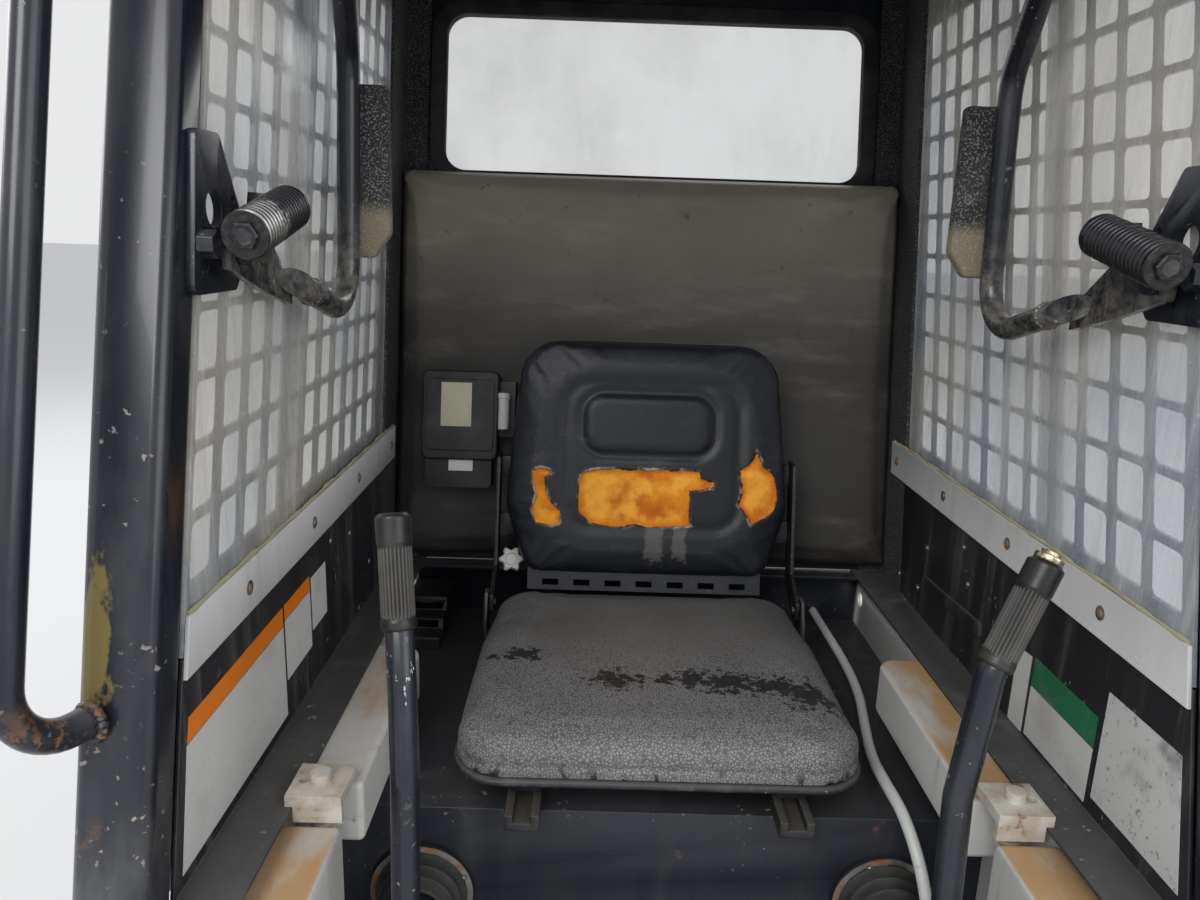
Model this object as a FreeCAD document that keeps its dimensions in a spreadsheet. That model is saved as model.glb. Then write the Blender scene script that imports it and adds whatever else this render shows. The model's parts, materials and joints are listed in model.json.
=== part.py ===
import FreeCAD, Part
import math
import os
import Sketcher

V = FreeCAD.Vector

# Operator's cab of a small loader, open at the front, on the tub of its frame.
# Millimetres. X to the right seen from the front, Y to the rear, Z up.
# The origin is on the ground in the middle of the outline.

doc = FreeCAD.newDocument("LoaderCab")
sheet = doc.addObject("Spreadsheet::Sheet", "Sizes")

# alias, value, meaning
DIMENSIONS = [
    ("half_depth", 627, "half of the overall depth, at the feet and at the roof"),
    ("inner_half", 430, "half of the clear width between the front pillars"),
    ("roof_top", 1510, "top of the roof"),
    ("sill_z", 500, "top of the tub, where the cab sits"),
    ("pillar_rake", 14.4, "lean of the front pillars from upright, degrees"),
    ("rear_rake", 11.5, "lean of the rear wall from upright, degrees"),
    ("rear_inset", 341, "rear wall's foot, in front of the cab's rearmost edge"),
    ("pillar_width", 63, "pillar's section across"),
    ("pillar_depth", 50, "pillar's section fore and aft"),
    ("pillar_wall", 4, "pillar's wall"),
    ("pillar_corner", 12, "pillar's corner radius"),
    ("roof_sheet", 4, "roof's sheet"),
    ("roof_skirt", 40, "height of the roof's turned edge"),
    ("roof_lip", 14, "roof's front edge ahead of the pillars' tops"),
    ("roof_corner", 35, "roof's corner radius in plan"),
    ("header_height", 60, "front header's height"),
    ("liner_thick", 28, "headliner foam"),
    ("side_sheet", 6, "outer side plate"),
    ("side_gap", 12, "from the pillars' inner face to the side plate"),
    ("grid_pitch", 61, "pitch of the screen's square holes"),
    ("grid_bar", 8, "bar between two holes"),
    ("grid_rise", 248, "lowest row of holes above the sill"),
    ("grid_front", 34, "plain edge before the first column of holes"),
    ("post_reach", 52, "rear post's face across"),
    ("post_side", 101, "rear post's side leg, fore and aft"),
    ("post_sheet", 12, "rear post's thickness"),
    ("wall_sheet", 5, "rear wall"),
    ("window_frame", 56, "rear window's cut-out in from the pillars' inner faces"),
    ("window_tall", 294, "height of the window's cut-out, along the slope"),
    ("window_drop", 67, "window's upper edge below the roof, along the slope"),
    ("window_corner", 50, "window's corner radius"),
    ("seal_lip", 14, "rubber seal's lip beyond the cut-out, each way"),
    ("seal_depth", 16, "rubber seal's depth through the wall"),
    ("glass_thick", 5, "glass of the rear window"),
    ("pad_thick", 40, "back pad"),
    ("pad_rise", 12, "back pad's lower edge above the sill, along the slope"),
    ("pad_lap", 10, "back pad's upper edge above the window's lower edge"),
    ("pad_crown", 18, "rounding of the back pad's front edges"),
    ("strip_sheet", 4, "retainer strip"),
    ("strip_rise", 184, "retainer strip's lower edge above the sill"),
    ("strip_height", 53, "retainer strip's height"),
    ("pane_rise", 202, "lower edge of the clear panes above the sill"),
    ("pane_drop", 46, "upper edge of the clear panes below the roof"),
    ("pane_thick", 4, "clear pane"),
    ("pane_edge", 280, "rear edge of the front pane, from the pillar"),
    ("pane_lap", 45, "overlap of the two panes"),
    ("lining_sheet", 4, "inner lining and its ledge"),
    ("ledge_reach", 22, "ledge's inner edge in from the tub's outer face"),
    ("ledge_setback", 40, "ledge's front end behind the tub's front edge"),
    ("tub_gap", 33, "tub's outer face in from the pillars' inner faces"),
    ("tub_setback", 27, "tub's front edge behind the pillars' feet"),
    ("tub_tail", 227, "tub's rear face ahead of the cab's rearmost edge"),
    ("tub_sheet", 6, "tub's sheet"),
    ("tilt_inset", 35, "tilt pivot bore ahead of the tub's rear face"),
    ("tilt_drop", 45, "tilt pivot bore below the tub's top"),
    ("tilt_radius", 12.5, "cab's tilt pivot bore"),
    ("rail_width", 79, "frame rail's inner face in from the tub's outer face"),
    ("rail_height", 72, "frame rail's height"),
    ("rail_ahead", 95, "frame rail's front end ahead of the riser"),
    ("rail_behind", 225, "frame rail's rear end behind the riser"),
    ("rail_corner", 24, "frame rail's rounded rear corner"),
    ("upright_width", 70, "front upright's inner face in from the tub's outer face"),
    ("upright_ahead", 137, "front upright's rear face ahead of the riser"),
    ("upright_drop", 15, "front upright's top below the sill"),
    ("upright_corner", 14, "front upright's rounded edges"),
    ("pan_drop", 95, "seat pan below the sill"),
    ("pan_depth", 575, "seat pan, fore and aft"),
    ("pan_sheet", 4, "seat pan and riser"),
    ("clamp_inset", 43, "hold-down's bolt in from the tub's outer face"),
    ("clamp_ahead", 115, "hold-down's bolt ahead of the riser"),
    ("clamp_width", 56, "hold-down's plate, across and fore and aft"),
    ("clamp_thick", 12, "hold-down's plate"),
    ("clamp_lip", 17, "turned-down front edge of the hold-down's plate"),
    ("clamp_lip_thick", 9, "turned-down edge, fore and aft"),
    ("clamp_bolt", 6, "hold-down bolt's radius"),
    ("clamp_head", 10, "hold-down bolt's head radius and height"),
    ("clamp_drop", 60, "length of the hold-down's bolt below the sill"),
    ("clamp_coil", 12, "hold-down spring's outer radius"),
    ("clamp_wire", 4, "hold-down spring's wire"),
    ("clamp_hole", 5, "frame bolt's hole beside the sprung bolt"),
    ("clamp_hole_out", 17, "frame bolt's hole outboard of the sprung bolt"),
    ("tube_radius", 13.35, "bar, lever and handle tube"),
    ("handle_out", 78, "grab handle out from the pillar's inner face"),
    ("handle_stand", 65, "grab handle in front of the pillar"),
    ("handle_rise", 176, "grab handle's lower foot above the sill"),
    ("handle_drop", 180, "grab handle's upper foot below the roof's top"),
    ("handle_bend", 45, "bend radius of the grab handle"),
    ("handle_sink", 6, "handle's end inside the pillar before it is trimmed"),
    ("pivot_drop", 470, "seat bar's pivot below the roof's top"),
    ("pivot_setback", 25, "seat bar's pivot behind the pillar"),
    ("pivot_radius", 9, "seat bar's pivot pin"),
    ("pivot_play", 0.08, "running clearance of pins"),
    ("bracket_sheet", 8, "bar bracket on the pillar"),
    ("bar_inset", 36, "seat bar's arm in from the pillar's inner face"),
    ("bar_start", 75, "arm tube's front end behind the pivot"),
    ("bar_reach", 297, "seat bar's elbow behind the pivot"),
    ("bar_dip", 85, "seat bar's elbow below the pivot"),
    ("bar_lean", 8, "upper bend in from the arm"),
    ("bar_rise", 214, "upper bend above the pivot"),
    ("bar_shoulder", 49, "end of the cross tube in from the arm"),
    ("cross_reach", 135, "cross tube behind the pivot"),
    ("cross_rise", 330, "cross tube above the pivot"),
    ("bar_bend", 55, "bend radius of the seat bar"),
    ("arm_plate", 8, "seat bar's arm plate"),
    ("spring_inset", 18, "bar spring's axis in from the arm"),
    ("spring_radius", 21, "bar spring's outer radius"),
    ("spring_groove", 3, "depth between two coils of the bar spring"),
    ("spring_coils", 16, "coils of the bar spring"),
    ("spring_length", 112, "bar spring"),
    ("spring_rise", 13.3, "bar spring's axis above level, degrees"),
    ("spring_ahead", 62, "bar spring's front end ahead of the pivot"),
    ("spring_above", 12, "bar spring's front end above the pivot"),
    ("spring_rod", 7, "rod through the bar spring"),
    ("rest_width", 60, "armrest pad, across"),
    ("rest_thick", 24, "armrest pad"),
    ("rest_dip", 15, "armrest pad's lower end below the pivot"),
    ("rest_tall", 204, "armrest pad's height"),
    ("runner_x", 156, "seat runner from the middle"),
    ("runner_width", 40, "seat runner's width"),
    ("runner_height", 20, "seat runner's height"),
    ("runner_ahead", 40, "seat runner's front end ahead of the riser"),
    ("runner_length", 415, "seat runner"),
    ("seat_half", 241, "half width of the cushion"),
    ("seat_rear_half", 226, "half width of the cushion at the rear"),
    ("seat_taper", 270, "length of the cushion's straight sides"),
    ("seat_ahead", 25, "cushion's front edge ahead of the riser"),
    ("seat_length", 452, "cushion, fore and aft"),
    ("seat_rise", 106, "cushion's top above the seat pan"),
    ("seat_lift", 27, "underside of the tray above the runners"),
    ("seat_tray", 8, "seat tray"),
    ("seat_corner", 60, "cushion's corner radius"),
    ("seat_crown", 22, "rounding of the cushion's top edge"),
    ("fold_ahead", 47, "backrest's hinge ahead of the cushion's rear edge"),
    ("fold_rise", 95, "backrest's hinge above the seat pan"),
    ("fold_radius", 6, "backrest's hinge pin"),
    ("back_half", 226, "half width of the backrest"),
    ("back_rise", 138, "backrest's lower edge above the seat pan"),
    ("back_tall", 363, "backrest's height"),
    ("back_setback", 15, "backrest's front face behind its hinge"),
    ("back_rake", 13.9, "lean of the backrest, degrees"),
    ("back_thick", 55, "backrest's thickness"),
    ("back_corner", 70, "backrest's corner radius"),
    ("back_taper", 110, "height of the backrest's widest place"),
    ("arm_sheet", 6, "backrest arm"),
    ("arm_x", 238, "backrest arm from the middle"),
    ("arm_rise", 170, "upper end of the arm above the backrest's lower edge"),
    ("strap_height", 35, "cross strap behind the backrest"),
    ("strap_sheet", 5, "cross strap behind the backrest"),
    ("knob_radius", 18, "recline knob over its lobes"),
    ("knob_thick", 20, "recline knob"),
    ("knob_setback", 59, "recline knob behind the backrest's hinge"),
    ("knob_rise", 52, "recline knob above the backrest's hinge"),
    ("boot_inset", 121, "lever boot in from the tub's outer face"),
    ("boot_drop", 110, "lever boot below the seat pan"),
    ("boot_radius", 60, "lever boot's ring"),
    ("boot_reach", 46, "lever boot's length"),
    ("boot_neck", 30, "lever boot's open neck"),
    ("lever_setback", 32, "levers' pivot behind the riser"),
    ("lever_ahead", 217, "levers' upright run ahead of the riser"),
    ("lever_pin", 8, "levers' pivot pin"),
    ("lever_boss", 16, "levers' pivot boss"),
    ("lever_boss_width", 34, "levers' pivot boss, across"),
    ("lever_bend", 30, "bend radius of the levers"),
    ("ear_sheet", 6, "ears that carry the levers' pivot pins"),
    ("grip_radius", 17.2, "lever grip"),
    ("grip_flutes", 26, "flutes along the grip"),
    ("button_radius", 13, "push button's collar"),
    ("box_width", 126, "relay box, across"),
    ("box_inset", 58, "relay box in from the back pad's edge"),
    ("box_rise", 168, "relay box above the back pad's lower edge"),
    ("box_height", 148, "relay box's height"),
    ("box_depth", 52, "relay box's depth"),
    ("box_foot", 46, "block under the relay box"),
    ("step_width", 66, "side box beside the seat, across"),
    ("step_length", 157, "side box beside the seat, fore and aft"),
    ("step_height", 58, "side box's rear step"),
    ("seat_play", 0.3, "gap between a soft or sliding piece and its seat"),
    ("hose_radius", 7, "clear hose"),
]


class Size:
    """A size that carries both its number and its formula in the sheet."""

    def __init__(self, number, formula):
        self.number = float(number)
        self.formula = formula

    @staticmethod
    def of(other):
        if isinstance(other, Size):
            return other
        return Size(other, f"({other})")

    def __float__(self):
        return self.number

    def __int__(self):
        return int(round(self.number))

    def __neg__(self):
        return Size(-self.number, f"(-{self.formula})")

    def __add__(self, other):
        other = Size.of(other)
        return Size(self.number + other.number, f"({self.formula} + {other.formula})")

    def __radd__(self, other):
        return Size.of(other) + self

    def __sub__(self, other):
        other = Size.of(other)
        return Size(self.number - other.number, f"({self.formula} - {other.formula})")

    def __rsub__(self, other):
        return Size.of(other) - self

    def __mul__(self, other):
        other = Size.of(other)
        return Size(self.number * other.number, f"({self.formula} * {other.formula})")

    def __rmul__(self, other):
        return Size.of(other) * self

    def __truediv__(self, other):
        other = Size.of(other)
        return Size(self.number / other.number, f"({self.formula} / {other.formula})")


def tangent(angle):
    return Size(math.tan(math.radians(angle.number)), f"tan({angle.formula})")


def read_sheet():
    sizes = {}
    for row, (alias, value, meaning) in enumerate(DIMENSIONS, start=1):
        sheet.set(f"A{row}", alias)
        sheet.set(f"B{row}", str(value))
        sheet.setAlias(f"B{row}", alias)
        sheet.set(f"C{row}", meaning)
        sizes[alias] = Size(value, f"Sizes.{alias}")
    doc.recompute()
    return sizes


S = read_sheet()
made = {}


def keep(name, shape_object):
    """Gives a finished sub-part its name."""
    shape_object.Label = name
    made[name] = shape_object
    return shape_object


def bind(item, path, size):
    """Binds one property to a formula of the sheet."""
    item.setExpression(path, Size.of(size).formula)


def put(item, x, y, z):
    item.Placement.Base = V(float(x), float(y), float(z))
    for axis, size in (("x", x), ("y", y), ("z", z)):
        if isinstance(size, Size):
            bind(item, f"Placement.Base.{axis}", size)


def block(name, x_range, y_range, z_range):
    """A box between three pairs of sizes."""
    item = doc.addObject("Part::Box", name)
    put(item, x_range[0], y_range[0], z_range[0])
    for edge, (low, high) in zip(("Length", "Width", "Height"), (x_range, y_range, z_range)):
        setattr(item, edge, float(high) - float(low))
        if isinstance(low, Size) or isinstance(high, Size):
            bind(item, edge, Size.of(high) - low)
    return item


TURNS = {
    "X": FreeCAD.Rotation(V(0, 1, 0), 90),
    "Y": FreeCAD.Rotation(V(1, 0, 0), -90),
    "Z": FreeCAD.Rotation(),
}


def rod(name, start, radius, length, along="Z"):
    """A cylinder that starts at a point and runs along one axis."""
    item = doc.addObject("Part::Cylinder", name)
    item.Placement.Rotation = TURNS[along]
    put(item, *start)
    item.Radius = float(radius)
    item.Height = float(length)
    if isinstance(radius, Size):
        bind(item, "Radius", radius)
    if isinstance(length, Size):
        bind(item, "Height", length)
    return item


def fused(name, pieces):
    item = doc.addObject("Part::MultiFuse", name)
    item.Shapes = pieces
    item.Refine = True
    return item


def cut(name, base, tools):
    item = doc.addObject("Part::Cut", name)
    item.Base = base
    item.Tool = tools[0] if len(tools) == 1 else fused(name + "_tools", tools)
    item.Refine = True
    return item


def side_range(side, low, high):
    """A range along X on the right side, or its mirror on the left."""
    return (low, high) if side > 0 else (-Size.of(high), -Size.of(low))


def plane_of(body, role):
    for feature in body.Origin.OriginFeatures:
        if feature.Role == role:
            return feature


def draw(sketch, outline, first):
    """Draws a closed outline whose corners are bound to their formulas."""
    count = len(outline)
    numbers = [(float(a), float(b)) for a, b in outline]
    for i in range(count):
        a, b = numbers[i], numbers[(i + 1) % count]
        sketch.addGeometry(Part.LineSegment(V(a[0], a[1], 0), V(b[0], b[1], 0)), False)
    for i in range(count):
        after = first + (i + 1) % count
        sketch.addConstraint(Sketcher.Constraint("Coincident", first + i, 2, after, 1))
    for i, (a, b) in enumerate(outline):
        for kind, size in (("DistanceX", a), ("DistanceY", b)):
            rule = Sketcher.Constraint(kind, -1, 1, first + i, 1, float(size))
            index = sketch.addConstraint(rule)
            if isinstance(size, Size):
                sketch.setExpression(f"Constraints[{index}]", size.formula)
    return first + count


def draw_circle(sketch, centre, radius, first):
    sketch.addGeometry(Part.Circle(V(float(centre[0]), float(centre[1]), 0), V(0, 0, 1),
                                   float(radius)), False)
    rules = (("DistanceX", centre[0]), ("DistanceY", centre[1]))
    for kind, size in rules:
        index = sketch.addConstraint(Sketcher.Constraint(kind, -1, 1, first, 3, float(size)))
        if isinstance(size, Size):
            sketch.setExpression(f"Constraints[{index}]", size.formula)
    index = sketch.addConstraint(Sketcher.Constraint("Radius", first, float(radius)))
    if isinstance(radius, Size):
        sketch.setExpression(f"Constraints[{index}]", radius.formula)
    return first + 1


def plate(name, plane, outline, span, rounds=(), windows=(), holes=(), soft=None):
    """A flat piece: an outline in a plane, padded between two stations across it.

    plane is XY, XZ or YZ; rounds holds (corner indices, radius) for corners of the outline;
    windows are inner outlines with a corner radius; holes are circles; soft is a fillet on
    every edge of the face at the span's start or end.
    """
    body = doc.addObject("PartDesign::Body", name + "_body")
    sketch = body.newObject("Sketcher::SketchObject", name + "_sketch")
    sketch.AttachmentSupport = [(plane_of(body, plane + "_Plane"), "")]
    sketch.MapMode = "FlatFace"
    low, high = Size.of(span[0]), Size.of(span[1])
    station = -high if plane == "XZ" else low
    sketch.AttachmentOffset.Base = V(0, 0, float(station))
    bind(sketch, "AttachmentOffset.Base.z", station)
    first = draw(sketch, outline, 0)
    for corners, _ in windows:
        first = draw(sketch, corners, first)
    for centre, radius in holes:
        first = draw_circle(sketch, centre, radius, first)
    pad = body.newObject("PartDesign::Pad", name + "_pad")
    pad.Profile = sketch
    pad.Length = float(high) - float(low)
    bind(pad, "Length", high - low)
    doc.recompute()

    def at(edge, point):
        spots = []
        for vertex in edge.Vertexes:
            p = vertex.Point
            spots.append({"XY": (p.x, p.y), "XZ": (p.x, p.z), "YZ": (p.y, p.z)}[plane])
        return all(math.dist(spot, point) < 1e-3 for spot in spots)

    groups = [([outline[i] for i in corners], radius) for corners, radius in rounds]
    groups += [(list(corners), radius) for corners, radius in windows if radius is not None]
    for number, (corners, radius) in enumerate(groups):
        tip = body.Tip
        points = [(float(a), float(b)) for a, b in corners]
        names = [f"Edge{i + 1}" for i, edge in enumerate(tip.Shape.Edges)
                 if any(at(edge, point) for point in points)]
        fillet = body.newObject("PartDesign::Fillet", f"{name}_corner{number}")
        fillet.Base = (tip, names)
        fillet.Radius = float(radius)
        bind(fillet, "Radius", radius)
        doc.recompute()
    if soft:
        end, radius = soft
        tip = body.Tip
        level = float(high) if end == "high" else float(low)
        key = {"XY": 2, "XZ": 1, "YZ": 0}[plane]
        names = [f"Edge{i + 1}" for i, edge in enumerate(tip.Shape.Edges)
                 if all(abs(vertex.Point[key] - level) < 1e-3 for vertex in edge.Vertexes)]
        fillet = body.newObject("PartDesign::Fillet", name + "_soft")
        fillet.Base = (tip, names)
        fillet.Radius = float(radius)
        bind(fillet, "Radius", radius)
        doc.recompute()
    return body


def lean(item, y, rake):
    """Stands an upright piece on a leaning plane that starts at y on the ground."""
    item.Placement = FreeCAD.Placement(V(0, float(y), 0), FreeCAD.Rotation(V(1, 0, 0), -float(rake)))
    bind(item, "Placement.Base.y", y)
    bind(item, "Placement.Rotation.Angle", rake)
    item.Placement.Rotation.Axis = V(-1, 0, 0)
    return item


def rounded_path(points, radius):
    """Straight runs joined by tangent arcs, as one wire."""
    points = [V(*[float(c) for c in p]) for p in points]
    edges = []
    start = points[0]
    for before, corner, after in zip(points, points[1:], points[2:]):
        come = (before - corner).normalize()
        leave = (after - corner).normalize()
        half = come.getAngle(leave) / 2
        back = float(radius) / math.tan(half)
        middle = (come + leave).normalize()
        reach = float(radius) / math.sin(half) - float(radius)
        first, last = corner + come * back, corner + leave * back
        edges.append(Part.LineSegment(start, first).toShape())
        edges.append(Part.Arc(first, corner + middle * reach, last).toShape())
        start = last
    edges.append(Part.LineSegment(start, points[-1]).toShape())
    return Part.Wire(edges)


def swept(wire, radius):
    """A round bar along a wire."""
    start = wire.Edges[0]
    begin = start.valueAt(start.FirstParameter)
    along = start.tangentAt(start.FirstParameter)
    ring = Part.Wire(Part.makeCircle(float(radius), begin, along))
    return wire.makePipeShell([ring], True, False)


def feature(name, shape):
    item = doc.addObject("Part::Feature", name + "_shape")
    item.Shape = shape
    return item


SIDES = (("left", -1), ("right", 1))
pillar_slope = tangent(S["pillar_rake"])
rear_slope = tangent(S["rear_rake"])
rear_cosine = Size(math.cos(math.radians(float(S["rear_rake"]))), "cos(Sizes.rear_rake)")
back_cosine = Size(math.cos(math.radians(float(S["back_rake"]))), "cos(Sizes.back_rake)")
rear_foot = S["half_depth"] - S["rear_inset"]
roof_under = S["roof_top"] - S["roof_sheet"]
outer_half = S["inner_half"] + S["pillar_width"]
side_in = S["inner_half"] + S["side_gap"]
side_out = side_in + S["side_sheet"]

# Across, from the pillars' inner faces
tub_half = S["inner_half"] - S["tub_gap"]
tub_inside = tub_half - S["tub_sheet"]
ledge_inner = tub_half - S["ledge_reach"]
rail_inner = tub_half - S["rail_width"]
upright_inner = tub_half - S["upright_width"]
clamp_x = tub_half - S["clamp_inset"]
handle_x = S["inner_half"] + S["handle_out"]
bar_x = S["inner_half"] - S["bar_inset"]
spring_x = bar_x - S["spring_inset"]
rest_inner = bar_x - S["bar_shoulder"]
window_half = S["inner_half"] - S["window_frame"]
boot_x = tub_half - S["boot_inset"]

# Up, from the sill and down from the roof
pan_z = S["sill_z"] - S["pan_drop"]
boot_z = pan_z - S["boot_drop"]
runner_top = pan_z + S["runner_height"]
seat_top = pan_z + S["seat_rise"]
fold_z = pan_z + S["fold_rise"]
back_low_z = pan_z + S["back_rise"]
pivot_z = S["roof_top"] - S["pivot_drop"]
grid_bottom = S["sill_z"] + S["grid_rise"]
pane_low = S["sill_z"] + S["pane_rise"]
pane_high = roof_under - S["pane_drop"]
strip_low = S["sill_z"] + S["strip_rise"]
handle_low = S["sill_z"] + S["handle_rise"]
handle_high = S["roof_top"] - S["handle_drop"]

# Along the slope of the rear wall
wall_low = S["sill_z"] / rear_cosine
wall_high = roof_under / rear_cosine
window_high = wall_high - S["window_drop"]
window_low = window_high - S["window_tall"]
pad_low = wall_low + S["pad_rise"]
pad_high = window_low + S["pad_lap"]

# Fore and aft, from the cab's two ends
tub_front = S["tub_setback"] - S["half_depth"]
tub_rear = S["half_depth"] - S["tub_tail"]
riser_y = tub_rear - S["pan_depth"]
upright_rear = riser_y - S["upright_ahead"]
clamp_y = riser_y - S["clamp_ahead"]
seat_front = riser_y - S["seat_ahead"]
seat_rear = seat_front + S["seat_length"]
fold_y = seat_rear - S["fold_ahead"]
back_face = fold_y + S["back_setback"]
lever_pivot_y = riser_y + S["lever_setback"]
lever_run_y = riser_y - S["lever_ahead"]
tilt_y = tub_rear - S["tilt_inset"]
tilt_z = S["sill_z"] - S["tilt_drop"]


def pillar_front(z):
    return z * pillar_slope - S["half_depth"]


def pillar_back(z):
    return pillar_front(z) + S["pillar_depth"]


def rear_plane(z):
    return z * rear_slope + rear_foot


def back_line(height):
    """Backrest's front face at a height above its lower edge."""
    return back_face + height * tangent(S["back_rake"])


# Seat bar's pivot and the points of its tube
pivot_y = pillar_back(pivot_z) + S["pivot_setback"]
elbow_y = pivot_y + S["bar_reach"]


def raked(front, back, low, high):
    """A side view outline between two leaning lines and two heights."""
    low, high = Size.of(low), Size.of(high)
    return [(front(low), low), (back(low), low), (back(high), high), (front(high), high)]


def make_pillar(side_name, side):
    """Leaning box tube with rounded corners, open inside."""
    name = "pillar_" + side_name
    x_range = side_range(side, S["inner_half"], outer_half)
    wall = S["pillar_wall"]
    outside = plate(name, "YZ", raked(pillar_front, pillar_back, 0, roof_under), x_range)
    pad = outside.Tip
    long_edges = []
    for i, edge in enumerate(pad.Shape.Edges):
        ends = [vertex.Point for vertex in edge.Vertexes]
        if abs(ends[0].z - ends[1].z) > 1:
            long_edges.append(f"Edge{i + 1}")
    fillet = outside.newObject("PartDesign::Fillet", name + "_round")
    fillet.Base = (pad, long_edges)
    fillet.Radius = float(S["pillar_corner"])
    bind(fillet, "Radius", S["pillar_corner"])
    inner_range = side_range(side, S["inner_half"] + wall, outer_half - wall)
    hollow = plate(name + "_hollow", "YZ",
                   raked(lambda z: pillar_front(z) + wall, lambda z: pillar_back(z) - wall,
                         -10, S["roof_top"] + 10), inner_range)
    keep(name, cut(name, outside, [hollow]))


def make_side_plate(side_name, side):
    """Outer side plate, its upper part pierced with square holes in leaning columns."""
    name = "side_screen_" + side_name
    pitch, edge = float(S["grid_pitch"]), float(S["grid_front"])
    hole = pitch - float(S["grid_bar"])
    low, high, first = float(S["sill_z"]), float(roof_under), float(grid_bottom)
    room_up = high - float(S["header_height"]) - first
    room_back = float(rear_plane(roof_under) + S["post_sheet"] - pillar_back(roof_under)) - 2 * edge

    def point(y_from_pillar, z):
        return V(0, float(pillar_back(Size.of(z))) + y_from_pillar, z)

    rear = [V(0, float(rear_plane(Size.of(z)) + S["post_sheet"]), z) for z in (low, high)]
    corners = [point(0, low), rear[0], rear[1], point(0, high)]
    outer = Part.makePolygon(corners + corners[:1])
    windows = []
    for row in range(int(room_up // pitch)):
        z = first + row * pitch
        for column in range(int(room_back // pitch)):
            y = edge + column * pitch
            ring = [point(y, z), point(y + hole, z), point(y + hole, z + hole), point(y, z + hole)]
            windows.append(Part.makePolygon(ring + ring[:1]))
    face = Part.makeFace([outer] + windows, "Part::FaceMakerBullseye")
    item = feature(name, face.extrude(V(float(S["side_sheet"]), 0, 0)))
    put(item, side_in if side > 0 else -side_out, 0, 0)
    keep(name, item)


def make_rear_post(side_name, side):
    """Leaning corner post: a face towards the seat and a leg along the side."""
    name = "rear_post_" + side_name
    low, high = S["sill_z"], roof_under
    face_range = side_range(side, side_in - S["post_reach"], side_in)
    leg_range = side_range(side, S["inner_half"], side_in)
    face = plate(name + "_face", "YZ",
                 raked(rear_plane, lambda z: rear_plane(z) + S["post_sheet"], low, high), face_range)
    leg = plate(name + "_leg", "YZ",
                raked(lambda z: rear_plane(z) - S["post_side"], rear_plane, low, high), leg_range)
    keep(name, fused(name, [face, leg]))


def make_rear_wall():
    """Leaning rear wall with its window cut, the glass, the rubber seal and the back pad."""
    half = side_in - S["post_reach"]
    edge = window_half
    trim = S["lining_sheet"] / 2

    def ring(grow):
        return [(-edge - grow, window_low - grow), (edge + grow, window_low - grow),
                (edge + grow, window_high + grow), (-edge - grow, window_high + grow)]

    wall = plate("rear_wall", "XZ",
                 [(-half, wall_low + trim), (half, wall_low + trim),
                  (half, wall_high - trim), (-half, wall_high - trim)],
                 (0, S["wall_sheet"]), windows=[(ring(0), S["window_corner"])])
    keep("rear_wall", lean(wall, rear_foot, S["rear_rake"]))

    lip, inset, play = S["seal_lip"], S["seal_lip"] / 2, S["seat_play"]
    middle = S["wall_sheet"] / 2
    front, back = middle - S["seal_depth"] / 2, middle + S["seal_depth"] / 2
    body = plate("rear_seal", "XZ", ring(lip), (front, back),
                 rounds=[((0, 1, 2, 3), S["window_corner"] + lip)],
                 windows=[(ring(-lip), S["window_corner"] - lip)])
    wall_slot = plate("seal_wall_slot", "XZ", ring(lip * 2), (0, S["wall_sheet"]),
                      windows=[(ring(0), S["window_corner"])])
    glass_low = middle - S["glass_thick"] / 2
    pane = (glass_low, glass_low + S["glass_thick"])
    corner = [((0, 1, 2, 3), S["window_corner"] - inset)]
    glass_slot = plate("seal_glass_slot", "XZ", ring(-inset), pane, rounds=corner)
    seal = cut("rear_seal", body, [wall_slot, glass_slot])
    keep("rear_seal", lean(seal, rear_foot, S["rear_rake"]))
    glass = plate("rear_glass", "XZ", ring(-inset), pane, rounds=corner)
    keep("rear_glass", lean(glass, rear_foot, S["rear_rake"]))

    wide = S["inner_half"] - 1
    pad = plate("back_pad", "XZ",
                [(-wide, pad_low), (wide, pad_low), (wide, pad_high), (-wide, pad_high)],
                (-S["pad_thick"] - play, -play),
                rounds=[((2, 3), S["pad_crown"])], soft=("low", S["pad_crown"] / 2))
    relief = block("pad_relief", (-edge - lip - 1, edge + lip + 1), (front - play, back),
                   (window_low - lip - 1, pad_high + lip))
    keep("back_pad", lean(cut("back_pad", pad, [relief]), rear_foot, S["rear_rake"]))


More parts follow.
